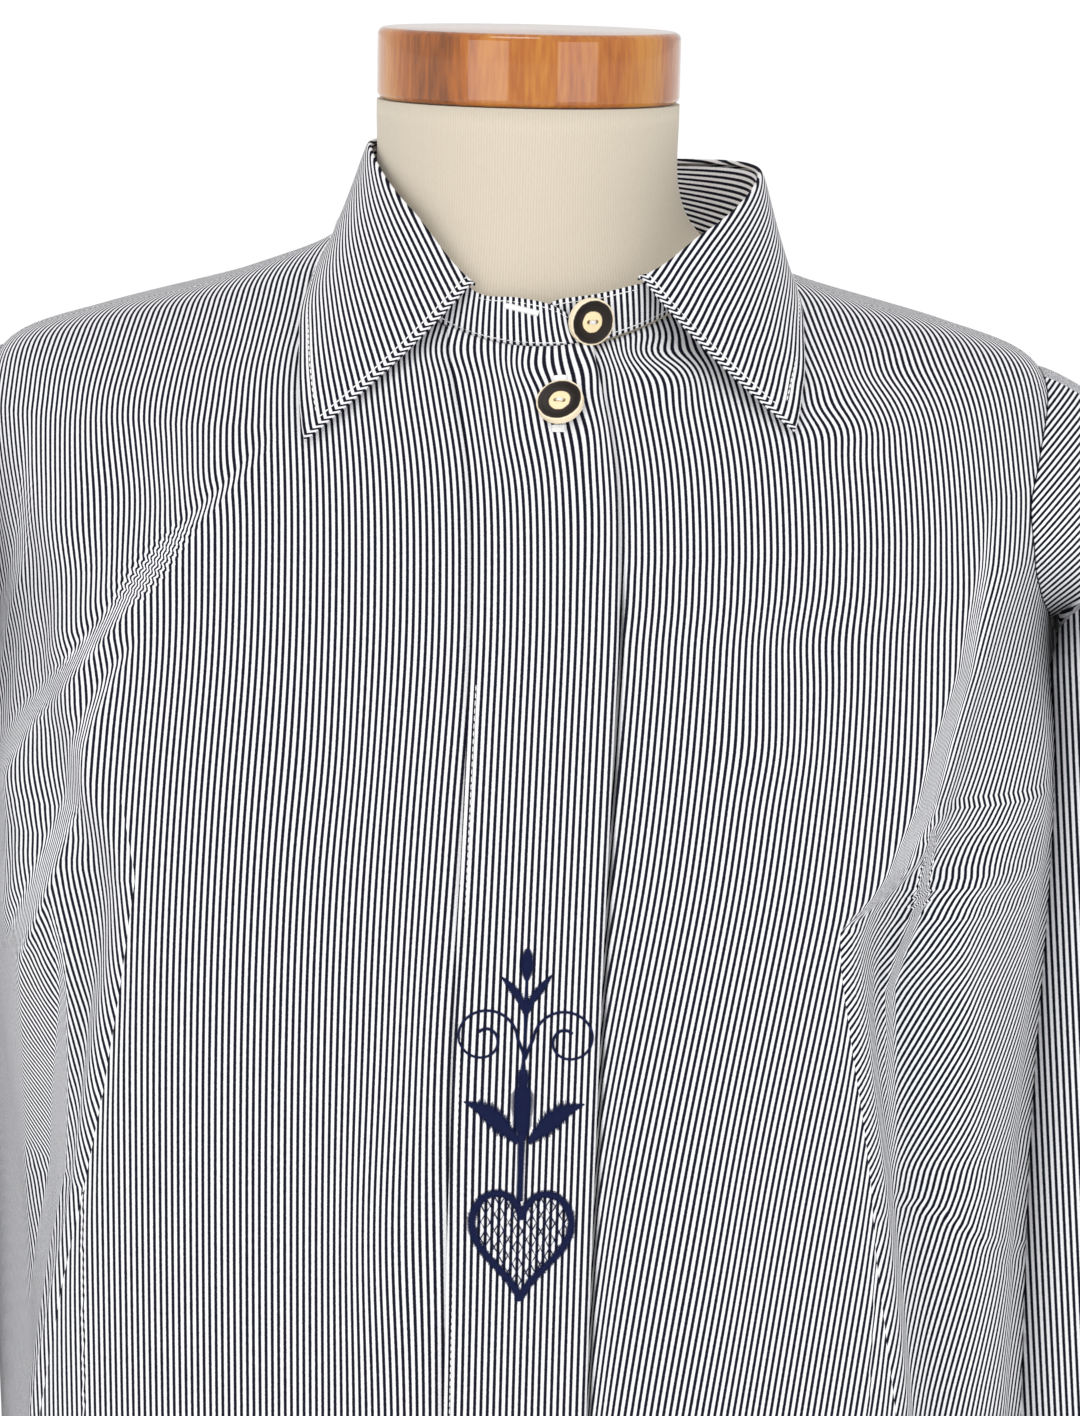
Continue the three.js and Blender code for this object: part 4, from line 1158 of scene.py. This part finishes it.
# ---- Buttonhole and bartacks ----
# The stand's buttonhole is worked in grey-white thread; bartacks end the placket's buttonhole.
HOLE_HALF = 1.3
TACK_LEFT, TACK_RIGHT = 11.6, 17.4
TACKS = ((729.0, 3.0), (710.0, 3.2))  # height, half length

share = np.linspace(0, 1, 40)
hole, normal = stand_line(0.046 + 0.026 * share, 0.74 + 0.06 * share)
sideways = np.cross(unit(np.gradient(hole, axis=0)), normal) * HOLE_HALF
groups = [thread_arches(hole - sideways, hole + sideways, normal, 0.5, 0.25)]
for tack_z, half in TACKS:
    level = np.interp(tack_z, (694.0, 745.0), (735.0, 878.0)) + np.linspace(-half, half, 16)
    start, normal = placket_face(0 * level + TACK_LEFT, level, 0.1)
    end, _ = placket_face(0 * level + TACK_RIGHT, level, 0.1)
    groups.append(thread_arches(start, end, normal, 0.55, 0.3))
thread_mesh("buttonhole_and_bartacks", groups, white_thread)


# ---- Buttons ----
# Four 18 mm horn-look buttons, turned from cast resin: a cream disc with a burnt brown ring and two holes,
# sewn on with white thread.
BUTTON_RADIUS = 9.0
BUTTON_THICKNESS = 3.2
BUTTON_RIM = 1.3
BUTTON_SLOPE = 1.0
BUTTON_CENTRE = 4.1
BUTTON_DISH = 0.5
BUTTON_STEP = (0.3, 0.25)
HOLE_RADIUS = 0.85
HOLE_APART = 3.2


def horn_look():
    """Cream, with a dark ring by the distance from the middle, streaked like horn."""
    material = new_material("horn_look_resin")
    middle = node(material, "ShaderNodeUVMap", {"uv_map": "face"}).outputs[0]
    streaks = noise(material, middle, 420.0, 4.0)
    far = node(material, "ShaderNodeVectorMath", {"operation": "LENGTH"}, i0=middle)
    uneven = calculate(material, "MULTIPLY_ADD", streaks.outputs["Fac"], 0.7 * MM, far.outputs["Value"])
    ring = colour_ramp(material, calculate(material, "DIVIDE", uneven, 10 * MM), (
        (0.43, "#ecd8ac"), (0.90, "#efdfc0"), (0.46, "#21160f"), (0.70, "#17100c"), (0.86, "#231812"),
    ))
    return principled(material, Base_Color=ring, Roughness=0.4, Specular_IOR_Level=0.2)


horn = horn_look()


def turn_disc(name):
    """A dished disc at the origin, with a raised rim and a raised middle."""
    bpy.ops.object.select_all(action="DESELECT")
    bpy.ops.mesh.primitive_cylinder_add(vertices=64, radius=BUTTON_RADIUS * MM, depth=BUTTON_THICKNESS * MM)
    button = bpy.context.active_object
    button.name = name
    bpy.ops.object.mode_set(mode="EDIT")
    bpy.ops.mesh.select_all(action="DESELECT")
    shape = bmesh.from_edit_mesh(button.data)
    top = max(shape.faces, key=lambda face: face.calc_center_median().z)
    top.select = True
    bmesh.update_edit_mesh(button.data)
    flat = BUTTON_RADIUS - BUTTON_RIM - BUTTON_SLOPE - BUTTON_CENTRE
    for inward, up in ((BUTTON_RIM, 0), (BUTTON_SLOPE, -BUTTON_DISH), (flat, 0), BUTTON_STEP):
        bpy.ops.mesh.inset(thickness=inward * MM, depth=up * MM)
    bpy.ops.object.mode_set(mode="OBJECT")
    bevel = button.modifiers.new("round", "BEVEL")
    bevel.width = 0.5 * MM
    bevel.segments = 3
    bevel.limit_method = "ANGLE"
    bpy.ops.object.modifier_apply(modifier="round")
    return button


def drill(button, x):
    bpy.ops.object.select_all(action="DESELECT")
    bpy.ops.mesh.primitive_cylinder_add(
        vertices=24, radius=HOLE_RADIUS * MM, depth=3 * BUTTON_THICKNESS * MM, location=(x * MM, 0, 0),
    )
    bit = bpy.context.active_object
    select_only(button)
    cut = button.modifiers.new("hole", "BOOLEAN")
    cut.operation = "DIFFERENCE"
    cut.object = bit
    bpy.ops.object.modifier_apply(modifier="hole")
    bpy.data.objects.remove(bit)


def make_button(name, cad, centre, facing):
    """Turns and drills a button, places it facing as given, and returns its sewing thread."""
    button = turn_disc(name)
    for x in (-HOLE_APART / 2, HOLE_APART / 2):
        drill(button, x)
    face = button.data.uv_layers.new(name="face")
    for loop in button.data.loops:
        face.data[loop.index].uv = button.data.vertices[loop.vertex_index].co.xy
    button.data.materials.clear()
    button.data.materials.append(horn)
    select_only(button)
    bpy.ops.object.shade_smooth_by_angle(angle=math.radians(35))
    turn = Vector(facing).to_track_quat("Z", "Y")
    button.rotation_mode = "QUATERNION"
    button.rotation_quaternion = turn
    button.location = Vector(centre) * MM
    bpy.ops.object.transform_apply(location=True, rotation=True, scale=True)
    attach(button, "root")
    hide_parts(cad)
    side_way, up_way, out = [np.array(turn @ Vector(axis)) for axis in ((1, 0, 0), (0, 1, 0), (0, 0, 1))]
    front = np.array(centre) + out * (BUTTON_THICKNESS / 2 - 0.1)
    hole = side_way * HOLE_APART / 2
    across = np.array([up_way * k for k in (-0.45, 0, 0.45)])
    return thread_arches(front - hole + across, front + hole + across, np.array([out] * 3), 0.5, 0.5)


STAND_BUTTON = (0.963, 0.46, -3.1)  # u, v, distance from the stand's middle surface
STAND_TILT = (0.26, 0, -0.16)
FRONT_BUTTON = (14.8, 805.0, 2.2)  # x, level, distance from the placket's face
FRONT_TILT = (-0.28, 0, 0.22)
CUFF_BUTTON = (0.975, 0.5)

u, v, out = STAND_BUTTON
middle, normal = surface_line(stand_point, np.array([u]), np.array([v]), out)
threads = [make_button("button_at_stand", "button_stand", middle[0], STAND_TILT - normal[0])]
x, level, out = FRONT_BUTTON
middle, normal = placket_face(np.array([x]), np.array([level]), out)
threads.append(make_button("button_at_front", "button_front", middle[0], FRONT_TILT + normal[0]))
for side, word in ((1, "left"), (-1, "right")):
    u, v = [np.array([place]) for place in CUFF_BUTTON]
    normal = side * normal_of(lambda u, v: cuff_point(side, u, v), u, v)
    middle = cuff_point(side, u, v) + normal * (DOUBLED_OUTSIDE + 1.9)
    threads.append(make_button(f"button_at_cuff_{word}", f"cuff_button_{word}", middle[0], normal[0]))
thread_mesh("button_thread", threads, white_thread)


# ---- Dress form ----
# A limbless torso of foam under cream ribbed cotton jersey, smooth and whole, on a pine board.
# The form's rings: station, how far inside the blouse's side, front and back it lies, and its square.
FORM_RINGS = (
    (18, 20, 16, 20, 2.3), (50, 20, 16, 19, 2.3), (190, 20, 22, 20, 2.3), (330, 46, 40, 26, 2.3),
    (430, 40, 26, 16, 2.3), (520, 30, 10, 6, 2.3), (580, 28, 8, 5, 2.35), (630, 22, 6, 3, 2.4),
    (685, 14, 3, 2, 2.5), (735, 3, 1, 0.6, 2.5), (770, 0, 0, 0, 2.35), (820, 0, 0, 0, 2.2),
    (878, 0, 0, 0, 2.0),
    (905, 0, 0, 0, 2.0), (940, 0, 0, 0, 2.0),
)
FORM_INSIDE = 1.1
FORM_FOOT, FORM_TOP = 18.0, 832.0


def form_point(angle, station):
    """A point on the torso, whose rings keep a distance inside the blouse's."""
    angle, station = np.broadcast_arrays(np.asarray(angle, float), np.asarray(station, float))
    sizes = [along(RINGS, station, k) - along(FORM_RINGS, station, k) for k in (WIDTH, FRONT, BACK)]
    return ring_point(angle, station, *sizes, along(FORM_RINGS, station, 4))


def cream_jersey():
    """Fine vertical ribs of knitted cotton, 1.1 mm apart, with painted shade in their grooves."""
    material = new_material("cream_rib_jersey")
    cloth = node(material, "ShaderNodeUVMap", {"uv_map": "cloth"}).outputs[0]
    ribs = node(
        material, "ShaderNodeTexWave", {"wave_type": "BANDS", "bands_direction": "X"}, Vector=cloth,
        Scale=1 / (1.1 * MM) / 3.18, Distortion=0.6,
    ).outputs["Fac"]
    mottle = noise(material, cloth, 700.0, 2.0)
    # Painted shade and highlight: the rib grooves are darkened to 0.93 and the crests lightened to 1.03,
    # over the bump.
    rib_painted_shade = node(material, "ShaderNodeMapRange", Value=ribs, i3=0.93, i4=1.03)
    speck = node(
        material, "ShaderNodeMapRange", Value=mottle.outputs["Fac"], i1=0.3, i2=0.7, i3=0.97, i4=1.02,
    )
    both = calculate(material, "MULTIPLY", rib_painted_shade.outputs[0], speck.outputs[0])
    cream = linear("#cbc0ad")[:3]
    colour = node(material, "ShaderNodeVectorMath", {"operation": "SCALE"}, i0=cream, Scale=both)
    bump = relief(material, 0.3, ribs)
    return principled(material, Base_Color=colour.outputs[0], Roughness=0.9, Sheen_Weight=0.2, Normal=bump)


station = np.linspace(18, 940, 150)[:, None]
angle = np.linspace(-180, 180, 145)[None, :]
inner_station, inner_angle = np.clip(station, 18.1, 939.9), np.clip(angle, -179.9, 179.9)
points = form_point(angle, station)
points = points - normal_of(form_point, inner_angle + 0 * station, inner_station + 0 * angle) * FORM_INSIDE
points[-1, :, 2] = FORM_TOP
points[0, :, 2] = FORM_FOOT
points[:, -1] = points[:, 0]
torso = grid_mesh(
    "form_torso_smooth", points, corner_uv(np.radians(angle) * 60 + 0 * station, arc_lengths(points, 0)),
)
select_only(torso)
bpy.ops.object.mode_set(mode="EDIT")
bpy.ops.mesh.select_all(action="SELECT")
bpy.ops.mesh.remove_doubles(threshold=0.00001)
bpy.ops.mesh.select_all(action="DESELECT")
bpy.ops.mesh.select_non_manifold()
bpy.ops.mesh.edge_face_add()
bpy.ops.object.mode_set(mode="OBJECT")
torso.data.materials.append(cream_jersey())
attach(torso, "root")
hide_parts("form_torso")


# ---- Neck cap and base board ----
# Turned and sawn pine under clear lacquer. The grain runs up the cap's side in dark and light bands.
CAP_BOTTOM, CAP_TOP, CAP_RADIUS, CAP_ROUND = 832.3, 860.3, 60.0, 3.0
BOARD_HALF, BOARD_THICKNESS, BOARD_ROUND = (205.0, 132.0), 18.0, 4.0


def lacquered_pine():
    """Wandering bands and fine upright grain, under a clear glossy coat."""
    material = new_material("lacquered_pine")
    place = node(material, "ShaderNodeTexCoord").outputs["Object"]
    stretch = node(material, "ShaderNodeMapping", Vector=place, Scale=(1.0, 1.0, 0.12)).outputs[0]
    wander = noise(material, stretch, 16.0, 3.0).outputs["Color"]
    bend = node(material, "ShaderNodeVectorMath", {"operation": "SCALE"}, i0=wander, Scale=0.028)
    moved = node(material, "ShaderNodeVectorMath", {"operation": "ADD"}, i0=stretch, i1=bend.outputs[0])
    bands = noise(material, moved.outputs[0], 38.0, 1.0).outputs["Fac"]
    fine = noise(material, stretch, 520.0, 4.0).outputs["Fac"]
    tone = colour_ramp(material, calculate(material, "MULTIPLY_ADD", fine, 0.5, bands), (
        (0.52, "#763c08"), (0.95, "#bd7a20"), (0.72, "#a5590d"),
    ))
    return principled(
        material, Base_Color=tone, Roughness=0.45, Specular_IOR_Level=0.1,
        Coat_Weight=1.0, Coat_Roughness=0.06, Coat_IOR=1.6,
    )


pine = lacquered_pine()
for name, cad, half, low, high, round_edge in (
    ("neck_cap_turned", "form_neck_cap", (CAP_RADIUS, CAP_RADIUS), CAP_BOTTOM, CAP_TOP, CAP_ROUND),
    ("base_board_oval", "form_base", BOARD_HALF, 0.0, BOARD_THICKNESS, BOARD_ROUND),
):
    bpy.ops.object.select_all(action="DESELECT")
    bpy.ops.mesh.primitive_cylinder_add(
        vertices=160, radius=1.0, depth=(high - low) * MM, location=(0, 0, (low + high) / 2 * MM),
    )
    block = bpy.context.active_object
    block.name = name
    block.scale = (half[0] * MM, half[1] * MM, 1.0)
    bpy.ops.object.transform_apply(location=True, rotation=True, scale=True)
    bevel = block.modifiers.new("round", "BEVEL")
    bevel.width = round_edge * MM
    bevel.segments = 6
    bevel.limit_method = "ANGLE"
    bpy.ops.object.modifier_apply(modifier="round")
    bpy.ops.object.shade_smooth_by_angle(angle=math.radians(30))
    block.data.materials.append(pine)
    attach(block, "root")
    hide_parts(cad)


# ---- Floor and light ----
# A pale floor under even, soft studio light.
bpy.ops.object.select_all(action="DESELECT")
bpy.ops.mesh.primitive_plane_add(size=400.0, location=(0, 0, 0))
floor = bpy.context.active_object
floor.name = "floor"
floor.data.materials.append(
    principled(new_material("pale_paper"), Base_Color=linear("#fcfcfc"), Roughness=0.9),
)

world = bpy.data.worlds.new("studio")
world.use_nodes = True
background = world.node_tree.nodes["Background"]
background.inputs["Color"].default_value = (1.0, 1.0, 1.0, 1.0)
background.inputs["Strength"].default_value = 0.82
bpy.context.scene.world = world
bpy.context.scene.view_settings.view_transform = "Standard"

overhead = bpy.data.lights.new("overhead_diffuser", "SUN")
overhead.energy = 0.85
overhead.angle = math.radians(28)
sky = bpy.data.objects.new("overhead_diffuser", overhead)
sky.rotation_euler = Vector((0.16, 0.42, -1.0)).to_track_quat("-Z", "Y").to_euler()
bpy.context.scene.collection.objects.link(sky)


def softbox(name, place, size, watts):
    light = bpy.data.lights.new(name, "AREA")
    light.shape = "RECTANGLE"
    light.size, light.size_y = size
    light.energy = watts
    box = bpy.data.objects.new(name, light)
    box.location = place
    aim = Vector((0.0, 0.0, 0.6)) - Vector(place)
    box.rotation_euler = aim.to_track_quat("-Z", "Y").to_euler()
    bpy.context.scene.collection.objects.link(box)


softbox("window_left", (-1.05, -1.8, 0.75), (1.15, 1.3), 8.5)
softbox("window_right", (1.25, -1.65, 0.75), (1.15, 1.3), 7.5)
